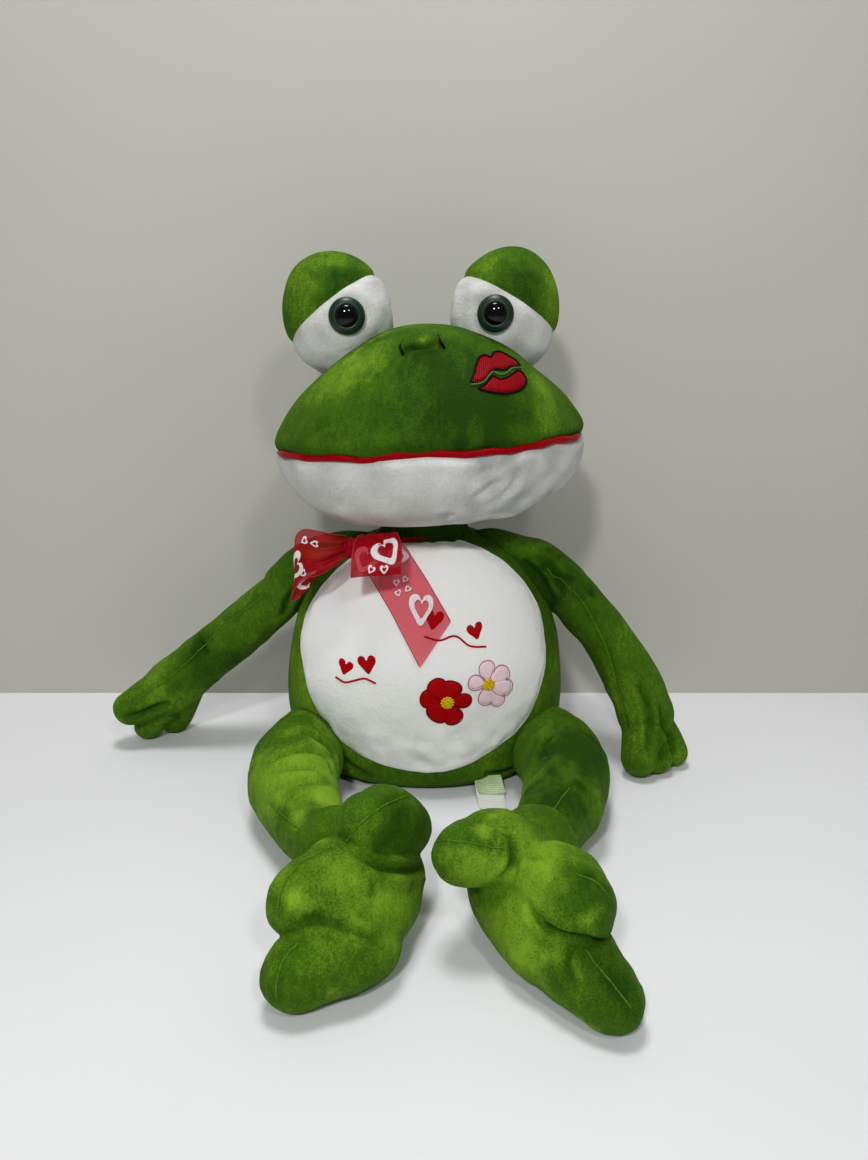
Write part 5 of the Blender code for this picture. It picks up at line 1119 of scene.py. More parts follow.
class FROG_OT_torso(bpy.types.Operator):
    """Sews the torso's front and back covers and the belly patch"""
    bl_idname = "frog.torso"
    bl_label = "Torso"

    def execute(self, context):
        sizes = context.scene.plush_sizes
        skin = oval_skin(station_table(TORSO_STATIONS, TORSO_HALF, 0.0, TORSO_HEIGHT, TORSO_HEIGHT),
                         TORSO_ROWS, front_heavy_turns(*TORSO_SIDES), TORSO_LEAN / TORSO_HEIGHT)
        x, y, z = skin.points.T
        radial = np.hypot(x / BELLY_HALF_WIDTH, (z - BELLY_CENTRE_Z) / BELLY_HALF_HEIGHT)
        belly = np.where(y < 0, (1 - radial) * BELLY_REACH, OFF_BELLY)
        in_belly = cut_along(skin, belly)
        seam = SIDE_SEAM_Y - skin.points[:, 1]
        in_front = cut_along(skin, seam)
        z = skin.points[:, 2]
        groove = bell(belly, sizes.seam_width) + SIDE_SEAM_SHARE * bell(seam, sizes.seam_width)
        crown = np.clip(belly, 0, None)
        rise = sizes.belly_rise * (1 - bell(crown, BELLY_ROUNDING))
        low = np.clip((SAG_TOP - z) / SAG_FADE, 0, 1) * (belly > 0) * (1 - bell(crown, SAG_EDGE))
        lumps = sizes.lump_height * waves(skin.points, *TORSO_LUMPS)
        crumple = BELLY_CRUMPLE * low * waves(skin.points * (1, 1, CRUMPLE_SLANT), *BELLY_CRUMPLES)
        pucker = BELLY_PUCKER * bell(belly - PUCKER_INSET, PUCKER_WIDTH) * waves(skin.points, *BELLY_PUCKERS)
        standing = np.clip((z - STAND_FROM) / STAND_FADE, 0, 1)
        skin.swell((rise + lumps + crumple + pucker - sizes.seam_depth * groove) * standing)
        tree = skin.tree()
        for marks in TORSO_FOLDS:
            skin.fold(on_skin(tree, marks), sizes.fold_depth, sizes.fold_width)
        on_floor(skin)
        SKINS["torso"] = skin
        nap = nap_light_and_shade_of(skin, "torso", TORSO_NAP_SEED)
        # Painted shade on the sagging lower belly
        grey = BELLY_SAG_SHADE * low * (1 + BELLY_SAG_SHADE_UNEVEN * waves(skin.points, *BELLY_SAG_SHADES))
        white_nap_and_shade = np.clip(BELLY_NAP + BELLY_NAP_UNEVEN * waves(skin.points, *BELLY_PILE) - grey, 0, 1)
        panels(skin, (("torso_front_cover", in_front & ~in_belly, green_plush, nap, ("torso_filling",)),
                      ("torso_back_cover", ~in_front & ~in_belly, green_plush, nap, ()),
                      ("belly_patch", in_belly, white_plush, white_nap_and_shade, ())), "torso", COVER_FILL)
        return {"FINISHED"}


class FROG_OT_neck(bpy.types.Operator):
    """Sews the gathered neck between torso and head"""
    bl_idname = "frog.neck"
    bl_label = "Neck"

    def execute(self, context):
        low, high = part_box("neck_stuffing")
        middle, radius = (low + high) / 2, (high.x - low.x) / 2
        turns = np.arange(NECK_SIDES) * math.tau / NECK_SIDES
        rings = []
        for share, reach in NECK_SHARES:
            gathers = (1 + NECK_GATHER_SHARE * np.sin(turns * NECK_GATHERS) * (1 - abs(share))
                       + NECK_LUMP_SHARE * np.sin(turns * NECK_LUMPS + 1))
            out = radius * reach * gathers
            rings.append(np.stack([middle.x + out * np.cos(turns), middle.y + out * np.sin(turns),
                                   np.full(NECK_SIDES, middle.z + share * radius)], 1))
        end = Vector((0, 0, NECK_END_SHARE * radius))
        skin = rings_to_skin(rings, middle - end, middle + end)
        # Painted shadow: the neck is drawn dark where the jaw's shadow falls on it
        piece = sewn("plush_neck", skin, green_plush, NECK_SHADOWED_SHARE * nap_light_and_shade_of(skin, "neck", NECK_NAP_SEED))
        settled(piece, "green_plush", "neck_stuffing", body="neck", fill=TIGHT_FILL)
        return {"FINISHED"}


def head_table():
    return station_table(HEAD_STATIONS, HEAD_HALF, -HEAD_JAW, HEAD_DOME)


def mouth_wave(points):
    """How far the mouth seam wavers up or down where it is sewn through three layers."""
    return MOUTH_WAVE * waves(points * (1, 1, 0), *MOUTH_WAVES)


class FROG_OT_head(bpy.types.Operator):
    """Sews the snout, the jaw and the back of the head"""
    bl_idname = "frog.head"
    bl_label = "Head"

    def execute(self, context):
        sizes = context.scene.plush_sizes
        skin = oval_skin(head_table(), HEAD_ROWS, front_heavy_turns(*HEAD_SIDES))
        in_front = cut_along(skin, HEAD_SEAM_Y - skin.points[:, 1])
        mouth = skin.points[:, 2] - mouth_wave(skin.points)
        above = cut_along(skin, mouth)
        x, y, z = skin.points.T
        seam = HEAD_SEAM_Y - y
        open_part = np.clip((MOUTH_STRIP_BACK_Y + MOUTH_FADE_FROM - y) / MOUTH_FADE, 0, 1)
        ahead = np.clip((HEAD_SEAM_Y - y) / MOUTH_END_FADE, 0, 1)
        width = sizes.seam_width * (1 + MOUTH_WIDER_SHARE * open_part)
        groove = (sizes.seam_depth + (sizes.mouth_depth - sizes.seam_depth) * open_part) * ahead
        groove = groove * bell(mouth, width) + sizes.seam_depth * bell(seam, sizes.seam_width)
        uneven = 0
        for height, (squash, size, seed), fade in HEAD_UNEVEN:
            axis, place, reach, top = fade
            kept = bell((x, y, z)[axis] - place, reach) * (z < top)
            uneven = uneven + height * waves(skin.points * (1, 1, squash), size, seed) * kept
        lumps = HEAD_LUMP_SHARE * sizes.lump_height * waves(skin.points, *HEAD_LUMPS)
        skin.swell(lumps + uneven * (y < 0) - groove)
        skin = moved(skin, MOUTH_PLACE)
        tree = skin.tree()
        for marks, height, reach in NOSE_SHAPES:
            far, _ = distance_along(skin.points, on_skin(tree, marks))
            skin.swell(height * bell(far, reach))
        for marks, depth, width in HEAD_FOLDS:
            skin.fold(on_skin(tree, marks), sizes.fold_depth * depth, sizes.fold_width * width)
        SKINS["head"] = skin
        nap = nap_light_and_shade_of(skin, "snout", SNOUT_NAP_SEED) - SNOUT_DARKER
        # Painted shade: the white is drawn darker over the whole jaw and greyer still on one cheek
        cheek = JAW_CHEEK_SHADE * bell(seen_from(skin, MOUTH_PLACE)[:, 0] - JAW_CHEEK_SHADE_X, JAW_CHEEK_SHADE_REACH)
        white_nap_and_shade = np.clip(JAW_SHADED_NAP + JAW_NAP_UNEVEN * waves(skin.points, *JAW_PILE)
                            - cheek * (1 + waves(skin.points, *JAW_CHEEK_SHADES)), 0, 1)
        panels(skin, (("snout_cover", in_front & above, green_plush, nap, ("head_filling",)),
                      ("jaw_cover", in_front & ~above, white_plush, white_nap_and_shade, ()),
                      ("head_back_cover", ~in_front, green_plush, nap, ())), "head", COVER_FILL)
        self.nostrils(skin.tree())
        self.mouth_strip(context)
        return {"FINISHED"}

    def nostrils(self, tree):
        """Two short black stitches pull the bridge of the nose together."""
        stitches = [thread_line(on_skin(tree, marks) + np.array(STITCH_LIFT), STITCH_RADIUS, 8)
                    for marks in NOSTRILS]
        settled(sewn("nostril_stitches", joined(stitches), black_thread), "red_thread", body="head")

    def mouth_strip(self, context):
        """The folded satin that is sewn into the mouth seam and bulges out of it."""
        rows = smooth_rows(head_table(), STRIP_TABLE_ROWS, round_ends=True)
        _, wide, front, _ = rows[np.argmin(abs(rows[:, 0]))]
        low_turn = math.pi + math.asin(-MOUTH_STRIP_BACK_Y / front)
        turns = np.linspace(low_turn, 3 * math.pi - low_turn, STRIP_POINTS)
        level = np.zeros(STRIP_POINTS)
        line = np.stack([wide * np.cos(turns), front * np.sin(turns), level], 1)
        out = np.stack([np.cos(turns) / wide, np.sin(turns) / front, level], 1)
        out /= np.linalg.norm(out, axis=1, keepdims=True)
        line[:, 2] = mouth_wave(line)
        half = context.scene.finish_sizes.strip_height / 2
        k = np.arange(STRIP_POINTS)
        ends = np.clip(np.minimum(k, STRIP_POINTS - 1 - k) / STRIP_END_POINTS, 0, 1)[:, None] ** 0.5
        wave = waves(line, *STRIP_WAVES)[:, None]
        rings = []
        for turn in np.linspace(-math.pi / 2, 1.5 * math.pi, STRIP_SIDES, endpoint=False):
            up = half * math.sin(turn) * (1 + STRIP_WAVE_SHARE * wave * (math.sin(turn) < 0))
            up += STRIP_WAVE * wave
            proud = STRIP_SINK + STRIP_PROUD * math.cos(turn) + STRIP_WAVE * wave
            rings.append(line + out * proud + np.array((0, 0, 1.0)) * up * ends)
        rings = np.array(rings).transpose(1, 0, 2)
        skin = moved(rings_to_skin(rings, rings[0].mean(axis=0), rings[-1].mean(axis=0)), MOUTH_PLACE)
        settled(sewn("mouth_strip_satin", skin, mouth_satin), "red_satin", "mouth_strip", body="head")


def turned_solid(profile, sides, tip=0.0):
    """A closed solid of revolution about Z from (radius, height) points. Its top stands up by tip."""
    turns = np.arange(sides) * math.tau / sides
    rings = [np.stack([r * np.cos(turns), r * np.sin(turns), np.full(sides, h)], 1) for r, h in profile]
    return rings_to_skin(rings, (0, 0, profile[0][1]), (0, 0, profile[-1][1] + tip))


class FROG_OT_eyes(bpy.types.Operator):
    """Sews the eye bulbs and sets the safety eyes in them"""
    bl_idname = "frog.eyes"
    bl_label = "Eyes"

    def execute(self, context):
        for side, sign in SIDES.items():
            place = MOUTH_PLACE @ Matrix.Translation((sign * BULB_SPREAD, BULB_SET_BACK, BULB_RISES[side]))
            self.bulb(context, side, sign, place)
            self.safety_eye(context, side, sign, place)
            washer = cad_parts[f"eye_washer_{side}"]
            washer.data.materials.clear()
            washer.data.materials.append(washer_plastic())
        return {"FINISHED"}

    def bulb(self, context, side, sign, place):
        """A stuffed white bulb, with its green lid and a dimple where the eye sits."""
        sizes = context.scene.plush_sizes
        wide, deep, high = BULB_HALF
        turned = place @ Matrix.Rotation(math.radians(sign * BULB_SPLAY_DEG), 4, "Y")
        table = station_table([(h, w, w, w) for h, w in BULB_STATIONS], (wide, deep, deep), -high, high, high)
        skin = moved(oval_skin(table, BULB_ROWS, front_heavy_turns(*BULB_SIDES)), turned)
        lid = place @ Matrix.Rotation(math.radians(sign * LID_TILT_DEG), 4, "Y")
        lid = lid @ Matrix.Rotation(math.radians(-LID_LEAN_DEG), 4, "X") @ Matrix.Translation((0, 0, LID_RISE))
        level = seen_from(skin, lid)[:, 2].copy()
        above = cut_along(skin, level)
        low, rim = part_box(f"iris_{side}")
        middle = (low + rim) / 2
        near = np.linalg.norm((skin.points - np.array(middle))[:, [0, 2]], axis=1)
        facing = skin.points[:, 1] < middle.y + EYE_FACING
        seat = facing * np.exp(-(near / EYE_SEAT_RADIUS) ** 4)
        groove = LID_SEAM_SHARE * sizes.seam_depth * bell(level, sizes.seam_width)
        lumps = BULB_LUMP_SHARE * sizes.lump_height * waves(skin.points, BULB_LUMP, 41 + sign)
        crumple = BULB_CRUMPLE * waves(skin.points, BULB_CRUMPLE_SIZE, 45 + sign) * (level < 0)
        skin.swell(lumps + crumple - groove - EYE_SEAT_DEPTH * seat
                   + EYE_RIM * bell(near - EYE_RIM_RADIUS, EYE_RIM_REACH) * facing)
        nap = nap_light_and_shade_of(skin, f"eyelid_{side}", 47 + sign)
        # Painted shade: the eye whites are drawn at a low lightness
        white_nap_and_shade = np.clip(BULB_SHADED_NAP + BULB_NAP_UNEVEN * waves(skin.points, BULB_PILE, 49 + sign), 0, 1)
        panels(skin, ((f"eyelid_{side}", above, green_plush, nap, ()),
                      (f"eye_white_{side}", ~above, white_plush, white_nap_and_shade, (f"eye_filling_{side}",))),
               "head", TIGHT_FILL)

    def safety_eye(self, context, side, sign, place):
        """A moulded disc with a rounded rim, and the polished dome set into it."""
        trim = context.scene.finish_sizes
        wide, deep, high = BULB_HALF
        inward, down = EYE_ON_BULB
        front = Vector((-sign * inward, 0, down))
        front.y = -deep * math.sqrt(1 - (front.x / wide) ** 2 - (front.z / high) ** 2)
        eye = place @ Matrix.Translation(front) @ Matrix.Rotation(math.radians(-sign * EYE_TURN_DEG), 4, "Z")
        eye = eye @ Matrix.Rotation(math.radians(90), 4, "X")
        disc, dome = trim.iris_width / 2, trim.pupil_width / 2
        iris = [(disc * share, height) for share, height in IRIS_RIM]
        iris += [(dome * share, height) for share, height in IRIS_SOCKET]
        low, base, rise = PUPIL_HEIGHTS
        turns = [math.radians(a) for a in range(0, 90, 9)]
        pupil = [(dome * PUPIL_EDGE_SHARE, low)]
        pupil += [(dome * math.cos(a), base + rise * math.sin(a)) for a in turns]
        for name, profile, cloth, tip in (("iris", iris, iris_plastic, 0.0),
                                          ("pupil", pupil, pupil_plastic, PUPIL_TIP)):
            piece = sewn(f"moulded_{name}_{side}", moved(turned_solid(profile, EYE_SIDES, tip), eye), cloth)
            settled(piece, f"{name}_plastic", f"{name}_{side}", body="head")


def limb_points(root, shares, length):
    """Points of a limb from their shares of its length."""
    return [root + Vector(share) * length for share in shares]


def rested(points, radii):
    """Points of a limb, no lower than lets it rest on the floor, with its radii."""
    return [Vector((p.x, p.y, max(p.z, r - FLOOR_CLEAR))) for p, r in zip(points, radii)], radii


def arm_bones(side):
    root = SHOULDERS[side]
    arm = limb_points(root, ARM_POINTS[side], ARM_LENGTH)
    yoke = [Vector((SIDES[side] * x, y, z)) for x, y, z in SHOULDER_YOKE]
    fingers = [limb_points(root, ends, ARM_LENGTH) for ends in FINGER_POINTS[side]]
    bones = [(arm, [ARM_RADIUS * share for share in ARM_RADIUS_SHARES]), (yoke, YOKE_RADII),
             ([arm[3], arm[4], fingers[0][1]], [FINGER_RADIUS * share for share in PALM_RADIUS_SHARES])]
    bones += [([start.lerp(arm[3], FINGER_ROOT_SHARE), (start + end) / 2, end],
               [FINGER_RADIUS * share for share in FINGER_RADIUS_SHARES]) for start, end in fingers[1:]]
    return [rested(*bone) for bone in bones]


def leg_bones(side):
    return [(limb_points(HIPS[side], LEG_POINTS[side], LEG_LENGTH),
             [LEG_RADIUS * share for share in LEG_RADIUS_SHARES])]


def foot_bones(side):
    root = ANKLES[side]
    bones = [rested(limb_points(root, PAD_POINTS[side], FOOT_LENGTH),
                    [PAD_RADIUS * share for share in PAD_RADIUS_SHARES])]
    return bones + [rested(limb_points(root, points, FOOT_LENGTH),
                           [TOE_RADIUS * size * taper for taper in TOE_TAPER_SHARES])
                    for points, size in zip(TOE_POINTS[side], TOE_SIZE_SHARES[side])]


def limb_skin(bones, sizes, rounds, seed, first_lobe=None, against=0, point=1.0):
    """One stuffed cover round several bones.

    From first_lobe on, a bone's lobe is creased against those before it, beginning with against, and its
    tip reaches point radii."""
    lobes = range(len(bones) if first_lobe is None else first_lobe, len(bones))
    skin = felted([tube_skin(*bone, point=point if k in lobes else 1.0) for k, bone in enumerate(bones)],
                  sizes.limb_mesh, rounds)
    gaps = []
    for points, radii in bones:
        far, along = distance_along(skin.points, points)
        gaps.append((far - np.interp(along * (len(radii) - 1), range(len(radii)), radii), along))
    press = np.zeros(len(skin.points))
    for k in lobes:
        lobe, along = gaps[k]
        free = np.clip(CREASE_SLOPE * along - CREASE_FROM, 0, 1)
        for other, _ in gaps[against:k]:
            press = np.maximum(press, free * np.exp(-(lobe ** 2 + other ** 2) / CREASE_REACH ** 2))
    if lobes:
        press *= np.clip(CREASE_SIDE + CREASE_UP * skin.normals(CREASE_ROUNDS)[:, 2], 0, 1)
        skin.swell(-sizes.crease_depth * press, CREASE_ROUNDS)
        skin.shade += CREASE_SHADE * sizes.crease_depth * press * SHADE_PER_METRE
    lumps = waves(skin.points, LIMB_LUMP, seed) * sizes.lump_height
    skin.swell(lumps + LIMB_FINE_SHARE * sizes.lump_height * waves(skin.points, LIMB_FINE_LUMP, seed + 1))
    return skin


def folded(skin, folds, depth, width):
    """Presses folds into a limb where the photograph shows them."""
    tree = skin.tree()
    for share, marks in folds:
        line = on_skin(tree, marks)
        if len(line) > 1:
            skin.fold(line, share * depth, width)


def seam_threads(skin, seams):
    """Presses in the seams of a limb and paints shade into them, and returns the parted pile that shows along
    them.
    """
    tree = skin.tree()
    lines = [line for line in (on_skin(tree, marks) for marks in seams) if len(line) > 1]
    for line in lines:
        valley = bell(distance_along(skin.points, line)[0], THREAD_VALLEY)
        skin.swell(-THREAD_DEPTH * valley)
        skin.shade += THREAD_SHADE * valley
    tree, threads = skin.tree(), []
    for line in lines:
        found = [tree.find_nearest(Vector(point)) for point in line]
        laid = [tuple(place + normal * PARTED_RADIUS * PARTED_PROUD_SHARE) for place, normal, *_ in found]
        threads.append(thread_line(smooth_rows(laid, 5 * len(laid)), PARTED_RADIUS))
    return threads


def pinched_at(skin, other):
    """Presses a skin in where it meets another skin, as a seam does, and paints shade into the dent."""
    tree = other.tree()
    reach = [tree.find_nearest(Vector(point), PINCH_SEARCH)[3] for point in skin.points]
    valley = bell(np.array([1.0 if far is None else far for far in reach]), PINCH_WIDTH)
    skin.swell(-PINCH_DEPTH * valley)
    skin.shade += PINCH_SHADE * valley


def on_floor(skin):
    """Flattens a skin where it would sink into the floor."""
    skin.points[:, 2] = np.maximum(skin.points[:, 2], FLOOR_CLEAR)


def limb_piece(name, skin, threads, nap):
    """Sews a limb over its cover and its filling."""
    limb, side = name.rsplit("_", 1)
    piece = sewn(f"plush_{name}", skin, green_plush, nap, threads)
    settled(piece, "green_plush", f"{limb}_cover_{side}", f"{limb}_filling_{side}", fill=LIMB_FILL)
    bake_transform(piece)


class FROG_OT_arms(bpy.types.Operator):
    """Sews the arms with their three fingers"""
    bl_idname = "frog.arms"
    bl_label = "Arms"

    def execute(self, context):
        sizes, torso = context.scene.plush_sizes, skin_of("torso")
        for side, sign in SIDES.items():
            skin = limb_skin(arm_bones(side), sizes, 2, 51 + sign, 3, 2)
            pinched_at(skin, torso)
            folded(skin, ARM_FOLDS[side], sizes.fold_depth * DEEPER_SHARE, sizes.fold_width * NARROWER_SHARE)
            threads = seam_threads(skin, (ARM_SEAMS[side],))
            on_floor(skin)
            limb_piece(f"arm_{side}", skin, threads, nap_light_and_shade_of(skin, f"arm_{side}", 55 + sign))
        return {"FINISHED"}


class FROG_OT_legs(bpy.types.Operator):
    """Sews the legs and the feet with their three toes"""
    bl_idname = "frog.legs"
    bl_label = "Legs and feet"

    def execute(self, context):
        sizes, torso = context.scene.plush_sizes, skin_of("torso")
        for side, sign in SIDES.items():
            leg = limb_skin(leg_bones(side), sizes, 4, 61 + sign)
            pinched_at(leg, torso)
            folded(leg, THIGH_FOLDS[side], sizes.fold_depth, sizes.fold_width)
            threads = seam_threads(leg, (LEG_SEAMS[side],))
            on_floor(leg)
            foot = limb_skin(foot_bones(side), sizes, 1, 65 + sign, 1, 1, TOE_POINT)
            folded(foot, FOOT_FOLDS[side], sizes.fold_depth * DEEPER_SHARE, sizes.fold_width * NARROWER_SHARE)
            toe_threads = seam_threads(foot, TOE_SEAMS[side])
            on_floor(foot)
            limb_piece(f"leg_{side}", leg, threads, nap_light_and_shade_of(leg, f"leg_{side}", 67 + sign))
            limb_piece(f"foot_{side}", foot, toe_threads, nap_light_and_shade_of(foot, f"foot_{side}", 67 + sign))
        return {"FINISHED"}


# Embroidery

def flat_marks(tree, marks, look):
    """Marks of the photograph on a skin, as (x, z) in a flat frame."""
    back = look.inverted()
    places = [back @ tree.ray_cast(EYE_PLACE, sight_line(*mark))[0] for mark in marks]
    return [(place.x, place.z) for place in places]


def turned_outline(shares, size, centre, degrees):
    """An outline of shares of a size, turned and put about a centre."""
    turn = math.radians(degrees)
    return [(centre[0] + size * (x * math.cos(turn) - z * math.sin(turn)),
             centre[1] + size * (x * math.sin(turn) + z * math.cos(turn))) for x, z in shares]


def round_turn(count, reach=1.0):
    """Points round a circle."""
    turns = [math.tau * k / count for k in range(count)]
    return [(reach * math.cos(turn), reach * math.sin(turn)) for turn in turns]


def rounded(outline, count):
    """A closed outline run through by a smooth line."""
    loop = [*outline[-2:], *outline, *outline[:3]]
    rows = smooth_rows(loop, count * 3)
    lap = np.linalg.norm(rows - np.array(outline[0]), axis=1)
    half = len(rows) // 2
    first, last = int(np.argmin(lap[:half])), half + int(np.argmin(lap[half:]))
    picked = rows[np.linspace(first, last, count, endpoint=False).astype(int)]
    return [tuple(p) for p in picked]


class FROG_OT_kiss(bpy.types.Operator):
    """Embroiders the pair of lips on the snout"""
    bl_idname = "frog.kiss"
    bl_label = "Lips"

    def execute(self, context):
        tree, thread = skin_of("head").tree(), context.scene.finish_sizes.thread_width
        edging = []
        for name, marks in (("kiss_upper_lip", UPPER_LIP), ("kiss_lower_lip", LOWER_LIP)):
            outline = rounded(flat_marks(tree, marks, MOUTH_PLACE), LIP_POINTS)
            piece = sewn(f"{name}_stitched", patch_on(tree, outline, MOUTH_PLACE, *LIP_PATCH), lip_thread)
            settled(piece, "red_thread", name, body="head")
            line = laid_line(tree, outline + outline[:1], MOUTH_PLACE, LIP_EDGE_LIFT)
            edging.append(thread_line(line, thread * LIP_EDGE_SHARE))
        settled(sewn("kiss_edging", joined(edging), black_thread), "red_thread", body="head")
        parting = smooth_rows(flat_marks(tree, LIP_PARTING, MOUTH_PLACE), PARTING_POINTS)
        line = laid_line(tree, [tuple(p) for p in parting], MOUTH_PLACE, PARTING_LIFT)
        piece = sewn("kiss_parting", thread_line(line, thread * STEM_SHARE), pale_green_thread)
        settled(piece, "green_plush", body="head")
        return {"FINISHED"}


class FROG_OT_flowers(bpy.types.Operator):
    """Embroiders the two flowers and the small hearts on the belly"""
    bl_idname = "frog.flowers"
    bl_label = "Flowers and hearts"

    def execute(self, context):
        tree, thread = skin_of("torso").tree(), context.scene.finish_sizes.thread_width
        self.flower(tree, thread, "red_flower", red_thread, shaded_red_edge_thread, "red_thread", *RED_FLOWER)
        self.flower(tree, thread, "pink_flower", pink_thread, deep_pink_thread, "pink_thread", *PINK_FLOWER)
        self.hearts(tree, thread)
        return {"FINISHED"}

    def flower(self, tree, thread, name, petal_cloth, edge_cloth, slot, mark, radius, edge_share, shapes):
        """Padded petals, the line of thread round each, and a centre of knots."""
        petals, edges = [], []
        centre = flat_marks(tree, [mark], FRONT_LOOK)[0]
        for k, (degrees, reach, wide) in enumerate(shapes):
            middle, half = (reach + PETAL_ROOT) / 2, (reach - PETAL_ROOT) / 2
            shares = [(middle + half * x, wide * z * (1 + PETAL_SWELL * x))
                      for x, z in round_turn(PETAL_POINTS)]
            outline = turned_outline(shares, radius, centre, degrees)
            step = PETAL_STEP * (k % 3)
            petals.append(patch_on(tree, outline, FRONT_LOOK, PETAL_HEIGHT + step, *PETAL_PATCH))
            rim = [(middle + (a - middle) * edge_share, b * edge_share) for a, b in shares]
            loop = turned_outline(rim, radius, centre, degrees)
            line = laid_line(tree, loop + loop[:1], FRONT_LOOK, PETAL_EDGE_LIFT + step)
            edges.append(thread_line(line, thread * PETAL_EDGE_SHARE))
        petals = sewn(f"{name}_petals_stitched", joined(petals), petal_cloth)
        edging = sewn(f"{name}_edging", joined(edges), edge_cloth)
        outline = turned_outline(round_turn(CENTRE_POINTS, CENTRE_SHARE), radius, centre, 0)
        knots = [patch_on(tree, outline, FRONT_LOOK, *CENTRE_PATCH)]
        for ring, count, lift in KNOT_RINGS:
            for spot in round_turn(count, ring):
                x, z = turned_outline([spot], radius, centre, KNOT_TURN_DEG * ring)[0]
                laid = laid_line(tree, [(x - BEAD_HALF, z), (x + BEAD_HALF, z)], FRONT_LOOK, lift)
                knots.append(thread_line(laid, BEAD_RADIUS, 8))
        dome = sewn(f"{name}_centre_knots", joined(knots), yellow_thread)
        settled(petals, slot, f"{name}_petals", body="torso")
        settled(edging, slot, body="torso")
        settled(dome, "yellow_thread", f"{name}_centre", body="torso")

    def hearts(self, tree, thread):
        """Small stitched hearts in two groups, joined by curling stems."""
        shapes = []
        for *centre, size, tilt in HEARTS:
            outline = rounded(turned_outline(HEART, size, centre, tilt), HEART_POINTS)
            shapes.append(patch_on(tree, outline, FRONT_LOOK, *HEART_PATCH))
        for stem in HEART_STEMS:
            line = laid_line(tree, [tuple(p) for p in smooth_rows(stem, STEM_POINTS)], FRONT_LOOK, STEM_LIFT)
            shapes.append(thread_line(line, thread * STEM_SHARE))
        settled(sewn("belly_hearts", joined(shapes), red_thread), "red_thread", body="torso")


# Ribbon and labels

def cloth_strip(ways, full):
    """A strip of cloth as a grid of points, from (centre, direction across it, width) on its way.

    Where it is gathered narrower than its full width, it stands up in pleats that keep its area."""
    table = smooth_rows([(*centre, *(np.array(across) * ACROSS_WEIGHT), wide) for centre, across, wide in ways],
                        len(ways) * 8)
    middle, across, wide = table[:, :3], table[:, 3:6], np.minimum(table[:, 6], full)
    across = across / np.linalg.norm(across, axis=1, keepdims=True)
    shares = np.linspace(-0.5, 0.5, CLOTH_COLUMNS)
    out = np.cross(np.gradient(middle, axis=0), across)
    out /= np.maximum(np.linalg.norm(out, axis=1, keepdims=True), 1e-12)
    pleats = np.minimum(wide / PLEATS / math.pi * np.sqrt(np.maximum(full / wide - 1, 0)), PLEAT_HIGHEST)
    lift = pleats[:, None] * np.sin(math.tau * PLEATS * shares)[None, :]
    return (middle[:, None] + across[:, None] * (wide[:, None] * shares[None, :])[:, :, None]
            + out[:, None] * lift[:, :, None])


def grid_faces(rows, cols):
    """The four-sided faces of a grid of points, row by row."""
    k = np.arange((rows - 1) * (cols - 1))
    a = (k // (cols - 1)) * cols + k % (cols - 1)
    return np.stack([a, a + 1, a + cols + 1, a + cols], 1)


def sheet_piece(name, grid, width, length, cloth, bunched=0.0):
    """A single layer of cloth from a grid of points, with its flat place as UV in metres."""
    rows, cols = grid.shape[:2]
    item = object_of(name, grid.reshape(-1, 3), grid_faces(rows, cols))
    mesh = item.data
    flat = mesh.uv_layers.new(name="flat")
    where = np.empty(len(mesh.loops), np.int32)
    mesh.loops.foreach_get("vertex_index", where)
    uv = np.stack([(where // cols) / (rows - 1) * length, (where % cols) / (cols - 1) * width], 1)
    flat.data.foreach_set("uv", uv.ravel())
    mesh.attributes.new("bunched", "FLOAT", "POINT").data.foreach_set("value", np.full(rows * cols, bunched))
    mesh.materials.append(cloth())
    return item


def length_of(grid):
    """How long a strip is along its middle."""
    return float(np.linalg.norm(np.diff(grid[:, grid.shape[1] // 2], axis=0), axis=1).sum())


def area_of(grid):
    one = np.linalg.norm(np.cross(grid[1:, :-1] - grid[:-1, :-1], grid[:-1, 1:] - grid[:-1, :-1]), axis=2)
    two = np.linalg.norm(np.cross(grid[1:, 1:] - grid[1:, :-1], grid[1:, 1:] - grid[:-1, 1:]), axis=2)
    return float((one.sum() + two.sum()) / 2)


def gathered_width(grid):
    """The width at which a flat strip would have a modelled one's area. It isn't the width of the cut ribbon,
    because the modelled gathers don't hold all of its cloth."""
    return area_of(grid) / length_of(grid)


def out_of(grid):
    """The way out of a strip at each of its points."""
    normal = np.cross(np.gradient(grid, axis=0), np.gradient(grid, axis=1))
    return normal / np.maximum(np.linalg.norm(normal, axis=2, keepdims=True), 1e-12)


def rippled(grid, height, seed):
    """A strip with a shallow, uneven ripple in it."""
    lift = waves(grid.reshape(-1, 3), RIPPLE_SIZE, seed).reshape(grid.shape[:2])
    return grid + out_of(grid) * (lift * height)[:, :, None]


